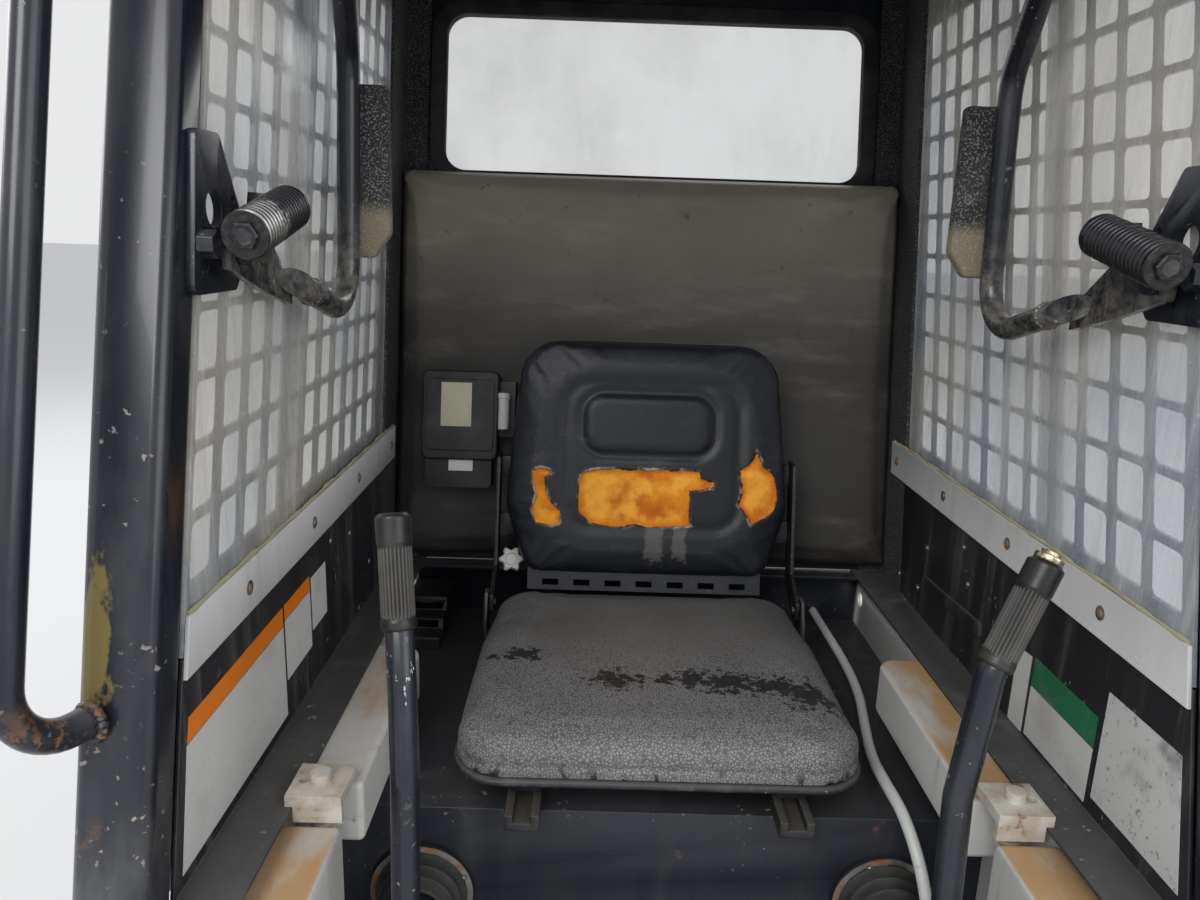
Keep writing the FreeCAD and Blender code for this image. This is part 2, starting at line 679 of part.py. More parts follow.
def make_roof():
    """Roof dish with a turned edge, the foam under it and the front header."""
    skirt_z = S["roof_top"] - S["roof_skirt"]
    sheet_thick = S["roof_sheet"]
    wide = outer_half + sheet_thick
    roof_front = pillar_front(roof_under) - S["roof_lip"]

    def rim(inset):
        left, right = -wide + inset, wide - inset
        front, back = roof_front + inset, S["half_depth"] - inset
        return [(left, front), (right, front), (right, back), (left, back)]

    dome = plate("roof_panel", "XY", rim(0), (skirt_z, S["roof_top"]),
                 rounds=[((2, 3), S["roof_corner"])], soft=("high", sheet_thick * 2))
    inside = plate("roof_hollow", "XY", rim(sheet_thick), (skirt_z - 5, roof_under),
                   rounds=[((2, 3), S["roof_corner"] - sheet_thick)])
    keep("roof_panel", cut("roof_panel", dome, [inside]))
    foam_low = roof_under - S["liner_thick"]
    foam = block("headliner", (1 - S["inner_half"], S["inner_half"] - 1),
                 (pillar_back(roof_under) + 1, rear_plane(foam_low) - 1), (foam_low, roof_under))
    keep("headliner", foam)
    header = plate("front_header", "YZ",
                   raked(pillar_front, pillar_back, roof_under - S["header_height"], roof_under),
                   (-S["inner_half"], S["inner_half"]))
    wall = S["pillar_wall"]
    hollow = plate("front_header_hollow", "YZ",
                   raked(lambda z: pillar_front(z) + wall, lambda z: pillar_back(z) - wall,
                         roof_under - S["header_height"] + wall, roof_under - wall),
                   (-S["inner_half"], S["inner_half"]))
    keep("front_header", cut("front_header", header, [hollow]))


def make_lining(side_name, side):
    """Inner lining below the panes with its ledge, the retainer strip and the two panes."""
    leg_front = lambda z: rear_plane(z) - S["post_side"]
    lining_x = side_range(side, S["inner_half"], S["inner_half"] + S["lining_sheet"])
    upright = plate("lining_sheet_" + side_name, "YZ",
                    raked(pillar_back, leg_front, S["sill_z"], pane_low - 2), lining_x)
    ledge = block("ledge_" + side_name, side_range(side, ledge_inner, S["inner_half"]),
                  (tub_front + S["ledge_setback"], rear_plane(S["sill_z"]) - 1),
                  (S["sill_z"], S["sill_z"] + S["lining_sheet"]))
    keep("side_lining_" + side_name, fused("side_lining_" + side_name, [upright, ledge]))
    strip_x = side_range(side, S["inner_half"] - S["strip_sheet"], S["inner_half"])
    wall_gap = S["pad_thick"] + 3
    strip = plate("retainer_strip_" + side_name, "YZ",
                  raked(pillar_back, lambda z: rear_plane(z) - wall_gap,
                        strip_low, strip_low + S["strip_height"]), strip_x)
    keep("retainer_strip_" + side_name, strip)
    play = S["seat_play"]
    near = S["inner_half"] + play
    far = near + S["pane_thick"] + play
    front_edge = lambda z: pillar_back(z) + play
    lap_edge = lambda z: pillar_back(z) + S["pane_edge"]
    rear_start = lambda z: lap_edge(z) - S["pane_lap"]
    rear_end = lambda z: leg_front(z) - play
    panes = (("front", near, front_edge, lap_edge), ("rear", far, rear_start, rear_end))
    for where, x_low, front, back in panes:
        name = f"pane_{where}_{side_name}"
        pane = plate(name, "YZ", raked(front, back, pane_low, pane_high),
                     side_range(side, x_low, x_low + S["pane_thick"]))
        keep(name, pane)


def make_tub():
    """Floor, rear plate, riser and seat pan."""
    sheet_thick, pan = S["tub_sheet"], S["pan_sheet"]
    keep("floor_plate", block("floor_plate", (-tub_half, tub_half), (tub_front, tub_rear),
                              (0, sheet_thick)))
    back = block("cross_back", (-tub_inside, tub_inside), (tub_rear - sheet_thick, tub_rear),
                 (sheet_thick, S["sill_z"]))
    flange = block("cross_flange", (-tub_inside, tub_inside),
                   (tub_rear - S["tilt_drop"], tub_rear),
                   (S["sill_z"] - sheet_thick, S["sill_z"]))
    x, y, z = HOSE_ROUTE[0]
    radius, deep = S["hose_radius"], sheet_thick
    collar = rod("grommet_collar", (x, tub_rear - sheet_thick - deep, z), radius + 4, deep + 1, "Y")
    bore = rod("grommet_bore", (x, tub_rear - sheet_thick - deep - 1, z),
               radius + S["seat_play"], deep + 1, "Y")
    plate_back = fused("cross_plate", [back, flange, collar])
    keep("rear_cross_plate", cut("rear_cross_plate", plate_back, [bore]))
    riser = block("riser", (-tub_inside, tub_inside), (riser_y, riser_y + pan),
                  (sheet_thick, pan_z))
    floor = block("pan", (-tub_inside, tub_inside), (riser_y, tub_rear - sheet_thick),
                  (pan_z - pan, pan_z))
    holes = [rod(f"boot_hole_{side_name}", (side * boot_x, riser_y - pan, boot_z),
                 S["boot_neck"] + pan, pan * 3, "Y") for side_name, side in SIDES]
    keep("seat_pan", cut("seat_pan", fused("pan_and_riser", [riser, floor]), holes))


def make_tub_side(side_name, side):
    """Side wall with its tilt pivot bore, the frame rail on it and the front upright."""
    sheet_thick = S["tub_sheet"]
    wall_x = side_range(side, tub_inside, tub_half)
    name = "tub_wall_" + side_name
    wall = block(name, wall_x, (tub_front, tub_rear), (sheet_thick, S["sill_z"]))
    bore = rod("tilt_bore_" + side_name, (wall_x[0] - 1, tilt_y, tilt_z), S["tilt_radius"],
               sheet_thick + 2, "X")
    keep(name, cut(name, wall, [bore]))

    name = "frame_rail_" + side_name
    outer, inner = side * tub_inside, side * rail_inner
    front, rear = riser_y - S["rail_ahead"], riser_y + S["rail_behind"]
    outline = [(outer, front), (inner, front), (inner, rear), (outer, rear)]
    under = S["sill_z"] - S["rail_height"]
    rail = plate("rail_" + side_name, "XY", outline, (under, S["sill_z"]),
                 rounds=[((2,), S["rail_corner"])])
    room = block("rail_room_" + side_name,
                 side_range(side, rail_inner + sheet_thick, tub_inside + 1),
                 (front - 1, rear - S["rail_corner"]), (under - 1, S["sill_z"] - sheet_thick))
    keep(name, cut(name, rail, [room]))

    name = "front_upright_" + side_name
    upright_top = S["sill_z"] - S["upright_drop"]
    upright = plate(name, "YZ",
                    [(tub_front, sheet_thick), (upright_rear, sheet_thick),
                     (upright_rear, upright_top), (tub_front, upright_top)],
                    side_range(side, upright_inner, tub_inside),
                    rounds=[((2, 3), S["upright_corner"])])
    hollow = block("upright_room_" + side_name,
                   side_range(side, upright_inner + sheet_thick, tub_inside - sheet_thick),
                   (tub_front + sheet_thick, upright_rear - sheet_thick),
                   (sheet_thick * 2, upright_top - sheet_thick))
    keep(name, cut(name, upright, [hollow]))


def make_hold_down(side_name, side):
    """Clamp plate on the ledge over the rail's end, with its bolt and spring."""
    name = "hold_down_" + side_name
    x, y = side * clamp_x, clamp_y
    half, wire, head = S["clamp_width"] / 2, S["clamp_wire"], S["clamp_head"]
    seat = S["sill_z"] + S["lining_sheet"]
    top = seat + S["clamp_thick"]
    slab = block(name + "_plate", (x - half, x + half), (y - half, y + half), (seat, top))
    hole = rod(name + "_hole", (x + side * S["clamp_hole_out"], y, seat - 1), S["clamp_hole"],
               S["clamp_thick"] + 2)
    pierced = cut(name + "_pierced", slab, [hole])
    lip_x = side_range(side, clamp_x - half, ledge_inner - S["seat_play"])
    lip = block(name + "_lip", lip_x, (y - half, y - half + S["clamp_lip_thick"]),
                (seat - S["clamp_lip"], seat + 1))
    bolt = rod(name + "_bolt", (x, y, S["sill_z"] - S["clamp_drop"]), S["clamp_bolt"],
               S["clamp_drop"] + S["lining_sheet"] + S["clamp_thick"])
    cap = rod(name + "_head", (x, y, top), head, head)
    nut = rod(name + "_nut", (x, y, S["sill_z"] - S["clamp_drop"]), head, head)
    coils = [rod(f"{name}_coil{turn}", (x, y, S["sill_z"] - wire * (2 + turn * 2)),
                 S["clamp_coil"], wire) for turn in range(5)]
    keep(name, fused(name, [pierced, lip, bolt, cap, nut] + coils))


def make_grab_handle(side_name, side):
    """Tube in front of the pillar, bent back onto it at both ends."""
    name = "grab_handle_" + side_name
    radius, stand, sink = S["tube_radius"], S["handle_stand"], S["handle_sink"]
    foot_x, x = side * (outer_half - radius - 2), side * handle_x
    points = [(foot_x, pillar_front(handle_low) + sink, handle_low),
              (x, pillar_front(handle_low) - stand, handle_low),
              (x, pillar_front(handle_high) - stand, handle_high),
              (foot_x, pillar_front(handle_high) + sink, handle_high)]
    solid = swept(rounded_path(points, S["handle_bend"]), radius)
    clear = solid.cut(made["pillar_" + side_name].Shape)
    body = max(clear.Solids, key=lambda part: part.Volume)
    keep(name, feature(name, body))


def make_bracket(side_name, side):
    """Bracket plate bolted to the pillar's inner face, with the seat bar's pivot pin."""
    name = "bar_bracket_" + side_name
    sheet_thick = S["bracket_sheet"]
    y, z = pivot_y, pivot_z
    face = S["inner_half"] - sheet_thick
    outline = [(y - 58, z - 38), (y + 30, z - 38), (y + 51, z - 16), (y + 51, z + 30),
               (y + 12, z + 97), (y - 33, z + 97)]
    body = plate(name, "YZ", outline, side_range(side, face, S["inner_half"]),
                 rounds=[((0, 1, 2, 3, 4, 5), S["bracket_sheet"])],
                 holes=[((y - 8, z + 33), 16), ((y + 33, z + 42), 3.5)])
    inner_end = bar_x + S["tube_radius"] - S["arm_plate"] / 4 - S["seat_play"]
    start = side_range(side, inner_end, S["inner_half"])[0]
    pin = rod(name + "_pin", (start, y, z), S["pivot_radius"], S["inner_half"] - inner_end, "X")
    cap_thick, cap_over = 6, 5
    cap_start = side_range(side, inner_end - cap_thick, inner_end)[0]
    cap = rod(name + "_cap", (cap_start, y, z), S["pivot_radius"] + cap_over, cap_thick, "X")
    head = doc.addObject("Part::Prism", name + "_bolt")
    head.Placement.Rotation = TURNS["X"]
    head.Polygon, head.Circumradius, head.Height = 6, 12, 14
    put(head, side_range(side, face - 14, face)[0], y - 38, z + 4)
    keep(name, fused(name, [body, pin, cap, head]))


def make_seat_bar():
    """Raised safety bar: one bent tube with an arm plate and a spring rod at each pivot."""
    radius = S["tube_radius"]
    y, z = pivot_y, pivot_z
    front_y = y + S["bar_start"]

    def half(side):
        return [(side * bar_x, front_y, z - 24),
                (side * bar_x, elbow_y, z - S["bar_dip"]),
                (side * (bar_x - S["bar_lean"]), elbow_y + 6, z + S["bar_rise"]),
                (side * (bar_x - S["bar_shoulder"]), y + S["cross_reach"], z + S["cross_rise"])]

    tube = feature("seat_bar_tube", swept(rounded_path(half(-1) + half(1)[::-1], S["bar_bend"]), radius))
    low = bar_x + radius - S["arm_plate"] / 4
    mitres, pieces = [], []
    for side_name, side in SIDES:
        inner, outer = side * (bar_x - radius - 5), side * (bar_x + radius + 5)
        mitres.append(plate("arm_mitre_" + side_name, "XY",
                            [(inner, front_y - 20), (outer, front_y - 20), (outer, front_y + 8),
                             (inner, front_y + 70)], (z - 90, z + 20)))
        arm = plate("bar_arm_" + side_name, "YZ",
                    [(y - 20, z - 17), (y + 55, z - 40), (y + 130, z - 58), (y + 130, z - 34),
                     (y + 74, z + 8), (y + 70, z + 50), (y + 46, z + 50), (y + 35, z + 20),
                     (y - 6, z + 22), (y - 22, z + 6)],
                    side_range(side, low, low + S["arm_plate"]),
                    holes=[((y, z), S["pivot_radius"] + S["pivot_play"])])
        start, along = spring_axis(side)
        length, rod_radius = float(S["spring_length"]), float(S["spring_rod"])
        inner_rod = Part.makeCylinder(rod_radius, length + 16, start - along * 4, along)
        end = start + along * (length + rod_radius)
        cross = side_range(side, spring_x, low + 1)
        stub = Part.makeCylinder(rod_radius, float(cross[1]) - float(cross[0]),
                                 V(float(cross[0]), end.y, end.z), V(1, 0, 0))
        pieces += [arm, feature("spring_rod_" + side_name, inner_rod.fuse(stub))]
    keep("seat_bar", fused("seat_bar", [cut("seat_bar_ends", tube, mitres)] + pieces))


def spring_axis(side):
    """Front end and direction of a bar spring."""
    rise = math.radians(float(S["spring_rise"]))
    start = V(float(side * spring_x), float(pivot_y - S["spring_ahead"]),
              float(pivot_z + S["spring_above"]))
    return start, V(0, math.cos(rise), math.sin(rise))


def make_bar_spring(side_name, side):
    """Close-wound coil spring that rides on the bar's arm beside the pivot."""
    name = "bar_spring_" + side_name
    length, radius = float(S["spring_length"]), float(S["spring_radius"])
    coils = int(S["spring_coils"])
    groove, step = float(S["spring_groove"]), length / coils
    bore = float(S["spring_rod"] + S["seat_play"])
    outline = [V(bore, 0, 0), V(radius - groove, 0, 0)]
    for turn in range(coils):
        low = turn * step
        outline += [V(radius, low + step * 0.3, 0), V(radius, low + step * 0.7, 0),
                    V(radius - groove, low + step, 0)]
    outline.append(V(bore, length, 0))
    face = Part.Face(Part.makePolygon(outline + outline[:1]))
    item = feature(name, face.revolve(V(0, 0, 0), V(0, 1, 0), 360))
    start, _ = spring_axis(side)
    item.Placement = FreeCAD.Placement(start, FreeCAD.Rotation(V(1, 0, 0), float(S["spring_rise"])))
    keep(name, item)


def make_armrest(side_name, side):
    """Flat pad behind the bar's upright run, its lower inner corner cut off."""
    name = "armrest_" + side_name
    low = pivot_z - S["rest_dip"]
    high = low + S["rest_tall"]
    inner, outer = side * rest_inner, side * (rest_inner + S["rest_width"])
    cut_in, cut_up = side * 22, 30
    outline = [(inner, low + cut_up), (inner + cut_in, low), (outer, low), (outer, high), (inner, high)]
    if side < 0:
        outline = outline[::-1]
    back = elbow_y + 6 + S["tube_radius"] + S["seat_play"]
    pad = plate(name, "XZ", outline, (back, back + S["rest_thick"]), soft=("low", 5))
    keep(name, pad)


def make_seat():
    """Runners, sliding tray with its shoes and hinge ears, and the cushion."""
    play = S["seat_play"]
    for side_name, side in SIDES:
        x, half = side * S["runner_x"], S["runner_width"] / 2
        front = riser_y - S["runner_ahead"]
        rear = front + S["runner_length"]
        name = "seat_runner_" + side_name
        bar = block(name + "_bar", (x - half, x + half), (front, rear), (pan_z, runner_top))
        groove = block(name + "_groove", (x - half / 2, x + half / 2), (front - 1, rear + 1),
                       (pan_z + S["runner_height"] / 2, runner_top + 1))
        keep(name, cut(name, bar, [groove]))
    base_low = runner_top + S["seat_lift"]
    base_top = base_low + S["seat_tray"]
    half, rear_half = S["seat_half"], S["seat_rear_half"]
    front, rear, straight = seat_front, seat_rear, seat_front + S["seat_taper"]
    inset, tray_corner = 9, S["seat_corner"] - 9
    tray = plate("seat_tray", "XY",
                 [(inset - half, front + inset), (half - inset, front + inset),
                  (half - inset, straight), (rear_half - inset, rear - inset),
                  (inset - rear_half, rear - inset), (inset - half, straight)],
                 (base_low, base_top), rounds=[((0, 1), tray_corner), ((3, 4), tray_corner / 2)])
    base = [tray]
    for side_name, side in SIDES:
        x, shoe_half, shoe_inset = side * S["runner_x"], 15, 30
        base.append(block("shoe_" + side_name, (x - shoe_half, x + shoe_half),
                          (front + shoe_inset, rear - shoe_inset), (runner_top + play, base_low)))
        ear_x = S["arm_x"] + S["arm_sheet"] / 2 + 2
        base.append(plate("ear_" + side_name, "YZ",
                          [(fold_y - 30, base_low), (fold_y + 20, base_low),
                           (fold_y + 20, fold_z + 8), (fold_y + 8, fold_z + 20),
                           (fold_y - 12, fold_z + 20), (fold_y - 30, fold_z - 20)],
                          side_range(side, ear_x, ear_x + S["arm_sheet"])))
        base.append(block("ear_foot_" + side_name,
                          side_range(side, rear_half - 30, ear_x + S["arm_sheet"]),
                          (fold_y - 30, fold_y + 10), (base_low, base_top)))
        pin_start = side_range(side, S["arm_x"] - S["arm_sheet"] / 2 - 3, ear_x)[0]
        base.append(rod("fold_pin_" + side_name, (pin_start, fold_y, fold_z), S["fold_radius"],
                        S["arm_sheet"] + 5, "X"))
    keep("seat_base", fused("seat_base", base))
    outline = [(-half, front), (half, front), (half, straight), (rear_half, rear),
               (-rear_half, rear), (-half, straight)]
    cushion = plate("seat_cushion", "XY", outline, (base_top + play, seat_top),
                    rounds=[((0, 1), S["seat_corner"]), ((3, 4), S["seat_corner"])],
                    soft=("high", S["seat_crown"]))
    keep("seat_cushion", cushion)


def make_backrest():
    """Folding backrest: cushion, two arms with cross straps, and the recline knob."""
    long = S["back_tall"] / back_cosine
    half, low, narrow = S["back_half"], S["back_taper"], 34
    outline = [(narrow - half, 0), (half - narrow, 0), (half, low), (half - 22, long),
               (22 - half, long), (-half, low)]
    pad = plate("backrest_cushion", "XZ", outline, (0, S["back_thick"]),
                rounds=[((0, 1), S["back_corner"] / 2), ((3, 4), S["back_corner"])],
                soft=("low", S["back_thick"] / 4))
    lean(pad, back_face, S["back_rake"])
    pad.Placement.Base = V(0, float(back_face), float(back_low_z))
    bind(pad, "Placement.Base.z", back_low_z)
    keep("backrest_cushion", pad)

    behind = S["back_thick"] / back_cosine + S["seat_play"]
    y, z = fold_y, fold_z
    top, top_z = back_line(S["arm_rise"]) + behind, back_low_z + S["arm_rise"]
    pieces = []
    for side_name, side in SIDES:
        arm = plate("back_arm_" + side_name, "YZ",
                    [(y - 16, z - 12), (y + 14, z - 14), (y + 78, z + 30), (top + 6, top_z),
                     (top - 30, top_z), (y + 40, z + 46), (y - 14, z + 16)],
                    side_range(side, S["arm_x"] - S["arm_sheet"] / 2,
                               S["arm_x"] + S["arm_sheet"] / 2),
                    rounds=[((0, 1, 2, 5, 6), 6)],
                    holes=[((y, z), S["fold_radius"] + S["pivot_play"])])
        pieces.append(arm)
    for number, low in enumerate((40, 130)):
        high = low + S["strap_height"]
        front_low, front_high = back_line(low) + behind, back_line(high) + behind
        pieces.append(plate(f"back_strap{number}", "YZ",
                            [(front_low, back_low_z + low),
                             (front_low + S["strap_sheet"], back_low_z + low),
                             (front_high + S["strap_sheet"], back_low_z + high),
                             (front_high, back_low_z + high)], (-S["arm_x"], S["arm_x"])))
    keep("backrest_frame", fused("backrest_frame", pieces))
    make_knob()


def make_knob():
    """Star knob on the left arm's inner face that locks the backrest's rake."""
    inner = S["arm_x"] - S["arm_sheet"] / 2
    start = (-inner, fold_y + S["knob_setback"], fold_z + S["knob_rise"])
    lobe, thick = S["knob_radius"] / 3, S["knob_thick"]
    pieces = [rod("knob_hub", start, S["knob_radius"] - lobe, thick, "X")]
    for turn in range(6):
        angle = math.radians(60 * turn)
        reach = S["knob_radius"] - lobe
        spot = (start[0], start[1] + reach * math.cos(angle), start[2] + reach * math.sin(angle))
        pieces.append(rod(f"knob_lobe{turn}", spot, lobe, thick, "X"))
    keep("recline_knob", fused("recline_knob", pieces))


def make_side_box():
    """Stepped sheet box on the pan, left of the seat, with a slot under each step."""
    inner, rear = tub_inside - S["step_width"], tub_rear - S["tub_sheet"] - 9
    front = rear - S["step_length"]
    high = pan_z + S["step_height"]
    middle, low = high - 22, high - 38
    outline = [(front, pan_z), (rear, pan_z), (rear, high), (front + 76, high),
               (front + 72, middle), (front + 38, middle), (front + 34, low), (front, low)]
    shell = plate("side_box", "YZ", outline, (-tub_inside, -inner), rounds=[((2, 3, 5, 7), 4)])
    slots = [block("side_box_slot0", (-tub_inside + 12, -inner - 10), (front + 60, front + 90),
                   (middle + 3, middle + 11)),
             block("side_box_slot1", (-tub_inside + 12, -inner - 10), (front + 20, front + 50),
                   (low + 2, low + 12))]
    keep("side_box", cut("side_box", shell, slots))


# Clear hose beside the seat: it leaves a grommet in the rear cross plate, lies on the pan,
# hangs over the riser's edge and ends on the floor. Points of its route, from the rear
HOSE_ROUTE = [(317, 393.7, 421), (317.5, 326, 421), (326, 222, 412.3), (321, 112, 412.2),
              (302, 20, 412.3), (287, -60, 414), (280, -128, 426), (286, -194, 421),
              (298, -242, 368), (306, -256, 290), (309, -252, 205), (305, -262, 125),
              (294, -300, 56), (280, -362, 17), (270, -440, 13.2), (268, -520, 13.3)]


def make_hose():
    radius = float(S["hose_radius"])
    points = [V(*p) for p in HOSE_ROUTE]
    edges, start, radii = [], points[0], []
    for before, corner, after in zip(points, points[1:], points[2:]):
        come, leave = before - corner, after - corner
        shorter = min(come.Length, leave.Length)
        come.normalize()
        leave.normalize()
        half = come.getAngle(leave) / 2
        back = 0.45 * shorter
        bend = back * math.tan(half)
        radii.append(bend)
        middle = (come + leave).normalize()
        first, last = corner + come * back, corner + leave * back
        edges.append(Part.LineSegment(start, first).toShape())
        crown = corner + middle * (bend / math.sin(half) - bend)
        edges.append(Part.Arc(first, crown, last).toShape())
        start = last
    edges.append(Part.LineSegment(start, points[-1]).toShape())
    wire = Part.Wire(edges)
    tube = swept(wire, radius)
    share = tube.Volume / (math.pi * radius ** 2 * wire.Length)
    print("hose bend radii", [round(r) for r in radii], "length", round(wire.Length),
          "volume over section times length", round(share, 4))
    keep("hose", feature("hose", tube))


def make_boot(side_name, side):
    """Flange ring and ribbed rubber boot round the lever, open at its neck."""
    name = "boot_" + side_name
    ring, neck, reach = float(S["boot_radius"]), float(S["boot_neck"]), float(S["boot_reach"])
    wall, ribs = 5, 3
    outline = [(neck, 0), (ring, 0), (ring, 6), (ring - 7, 8)]
    step_in = (ring - 8 - neck - wall) / ribs
    step_out = (reach - 12) / ribs
    for rib in range(ribs):
        radius, height = ring - 8 - rib * step_in, 8 + (rib + 1) * step_out
        outline += [(radius, height), (radius - step_in * 0.7, height - 3)]
    outline += [(neck + wall, reach), (neck, reach)]
    points = [V(r, 0, s) for r, s in outline]
    face = Part.Face(Part.makePolygon(points + points[:1]))
    item = feature(name, face.revolve(V(0, 0, 0), V(0, 0, 1), 360))
    item.Placement = FreeCAD.Placement(V(float(side * boot_x), float(riser_y), float(boot_z)),
                                       FreeCAD.Rotation(V(1, 0, 0), 90))
    keep(name, item)


def make_lever_pivot(side_name, side):
    """Two ears behind the riser with the pin that a drive lever swings on."""
    name = "lever_pivot_" + side_name
    x, y, z = side * boot_x, lever_pivot_y, boot_z
    half = S["lever_boss_width"] / 2 + 1
    sheet_thick = S["ear_sheet"]
    back = riser_y + S["pan_sheet"]
    pieces = []
    for number, low in enumerate((x - half - sheet_thick, x + half)):
        outline = [(back, z - 34), (y + 4, z - 14), (y + 14, z), (y + 4, z + 14), (back, z + 34)]
        pieces.append(plate(f"{name}_ear{number}", "YZ", outline, (low, low + sheet_thick)))
    pieces.append(rod(name + "_pin", (x - half - sheet_thick - 3, y, z), S["lever_pin"],
                      half * 2 + sheet_thick * 2 + 6, "X"))
    keep(name, fused(name, pieces))


# The two levers differ. In millimetres from the boot's middle outwards, from the upright
# run to the rear and from the boot upwards; grip is where it starts on the last run
LEVERS = {
    "left": {"run": -26, "knee": (-20, 42, 355), "top": (-5, 85, 509), "grip": 0.36},
    "right": {"run": -22, "knee": (-2, 32, 397), "top": (44, 54, 492), "grip": 0.06},
}


def make_lever(side_name, side):
    """Bent drive lever out of its boot, with a fluted grip."""
    spec = LEVERS[side_name]
    middle, run_y, base = float(boot_x), float(lever_run_y), float(boot_z)

    def spot(out, back, up):
        return V(side * (middle + out), run_y + back, base + up)

    knee, top = spot(*spec["knee"]), spot(*spec["top"])
    along = (top - knee).normalize()
    pivot = V(side * middle, float(lever_pivot_y), base)
    points = [pivot - V(0, 4, 0), spot(spec["run"], 0, 0), spot(spec["run"], 18, 280), knee, top]
    tube = swept(rounded_path(points, S["lever_bend"]), S["tube_radius"])
    grip_start = knee + (top - knee) * spec["grip"]
    grip_length = (top - grip_start).Length + 4
    grip = fluted_grip(grip_start, along, grip_length)
    wide = float(S["lever_boss_width"])
    end = pivot - V(wide / 2, 0, 0)
    boss = Part.makeCylinder(float(S["lever_boss"]), wide, end, V(1, 0, 0))
    bore = Part.makeCylinder(float(S["lever_pin"] + S["pivot_play"]), wide + 10,
                             end - V(5, 0, 0), V(1, 0, 0))
    room = Part.makeCylinder(float(S["grip_radius"]), grip_length, grip_start, along)
    lever = tube.cut(room).fuse(boss).cut(bore).removeSplitter()
    keep("lever_" + side_name, feature("lever_" + side_name, lever))
    keep("grip_" + side_name, feature("grip_" + side_name, grip))
    if side_name == "right":
        end = grip_start + along * grip_length
        collar = float(S["button_radius"])
        button = Part.makeCylinder(collar, 6, end, along)
        button = button.fuse(Part.makeCylinder(collar - 4, 10, end, along))
        keep("lever_button", feature("lever_button", button.removeSplitter()))


def fluted_grip(start, along, length):
    """Rubber sleeve with flutes along it and a plain collar at each end."""
    outer, flutes = float(S["grip_radius"]), int(S["grip_flutes"])
    groove, collar = 1.1, 9
    points = []
    for step in range(flutes * 4):
        radius = outer if step % 4 < 2 else outer - groove
        angle = 2 * math.pi * (step + 0.5) / (flutes * 4)
        points.append(V(radius * math.cos(angle), radius * math.sin(angle), 0))
    sleeve = Part.Face(Part.makePolygon(points + points[:1])).extrude(V(0, 0, length))
    ends = [Part.makeCylinder(outer, collar, V(0, 0, z)) for z in (0, length - collar)]
    grip = sleeve.fuse(ends).removeSplitter()
    grip.Placement = FreeCAD.Placement(start, FreeCAD.Rotation(V(0, 0, 1), along))
    return grip


def make_relay_box():
    """Relay box on the back pad's left, a block under it and a relay beside it."""
    name = "relay_box"
    front = -S["pad_thick"] - S["seat_play"] * 2
    left = S["box_inset"] - S["inner_half"]
    right = left + S["box_width"]
    low = pad_low + S["box_rise"]
    high = low + S["box_height"]
    shell = plate(name, "XZ", [(left, low), (right, low), (right, high), (left, high)],
                  (front - S["box_depth"], front), rounds=[((0, 1, 2, 3), 12)], soft=("low", 4))
    lower = plate(name + "_lower", "XZ",
                  [(left + 6, low - S["box_foot"]), (right - 10, low - S["box_foot"]),
                   (right - 10, low + 2), (left + 6, low + 2)],
                  (front - S["box_depth"] + 8, front), rounds=[((0, 1), 8)])
    relay = block(name + "_relay", (right - 1, right + 26), (front - 34, front),
                  (low + 40, high - 16))
    barrel = rod(name + "_barrel", (right + 8, front - 44, low + 52), 9, 62)
    box = fused(name, [shell, lower, relay, barrel])
    keep(name, lean(box, rear_foot, S["rear_rake"]))


def build():
    for side_name, side in SIDES:
        make_pillar(side_name, side)
        make_side_plate(side_name, side)
        make_rear_post(side_name, side)
        make_lining(side_name, side)
        make_hold_down(side_name, side)
        make_bracket(side_name, side)
        make_bar_spring(side_name, side)
        make_armrest(side_name, side)
        make_boot(side_name, side)
        make_lever_pivot(side_name, side)
        make_lever(side_name, side)
        make_tub_side(side_name, side)
    make_rear_wall()
    make_roof()
    make_tub()
    make_seat_bar()
    make_seat()
    make_backrest()
    make_side_box()
    make_relay_box()
    make_hose()
    doc.recompute()
    for side_name, side in SIDES:
        make_grab_handle(side_name, side)
    doc.recompute()


def check_and_write():
    for item in doc.Objects:
        if "Invalid" in item.State or "Error" in item.State:
            raise RuntimeError(f"{item.Label} failed to build: {item.State}")
    os.makedirs("parts", exist_ok=True)
    for name, item in made.items():
        shape = item.Shape
        if shape.isNull() or not shape.isValid() or not shape.Solids:
            raise RuntimeError(f"{name} has no valid solid")
    for name, item in made.items():
        item.Shape.exportStep(os.path.join("parts", name + ".step"))


build()
check_and_write()
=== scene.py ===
import bmesh
import bpy
import json
import math
from mathutils import Matrix, Vector


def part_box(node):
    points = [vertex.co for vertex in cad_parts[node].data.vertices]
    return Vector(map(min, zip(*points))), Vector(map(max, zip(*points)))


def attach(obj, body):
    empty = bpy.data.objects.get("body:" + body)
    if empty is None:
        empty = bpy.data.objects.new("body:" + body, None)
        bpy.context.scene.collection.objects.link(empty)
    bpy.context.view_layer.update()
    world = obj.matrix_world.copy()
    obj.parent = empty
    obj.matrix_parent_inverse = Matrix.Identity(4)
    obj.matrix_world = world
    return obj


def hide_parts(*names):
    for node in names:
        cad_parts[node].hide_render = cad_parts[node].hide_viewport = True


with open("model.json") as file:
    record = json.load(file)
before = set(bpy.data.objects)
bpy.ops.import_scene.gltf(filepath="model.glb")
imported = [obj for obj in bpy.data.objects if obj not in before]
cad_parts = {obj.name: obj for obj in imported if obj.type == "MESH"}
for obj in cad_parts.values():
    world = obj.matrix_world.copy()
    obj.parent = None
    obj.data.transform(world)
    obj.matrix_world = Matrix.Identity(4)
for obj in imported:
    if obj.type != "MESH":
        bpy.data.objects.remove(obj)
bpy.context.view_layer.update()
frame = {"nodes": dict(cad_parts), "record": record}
NODES = frame["nodes"]
RECORD = frame["record"]
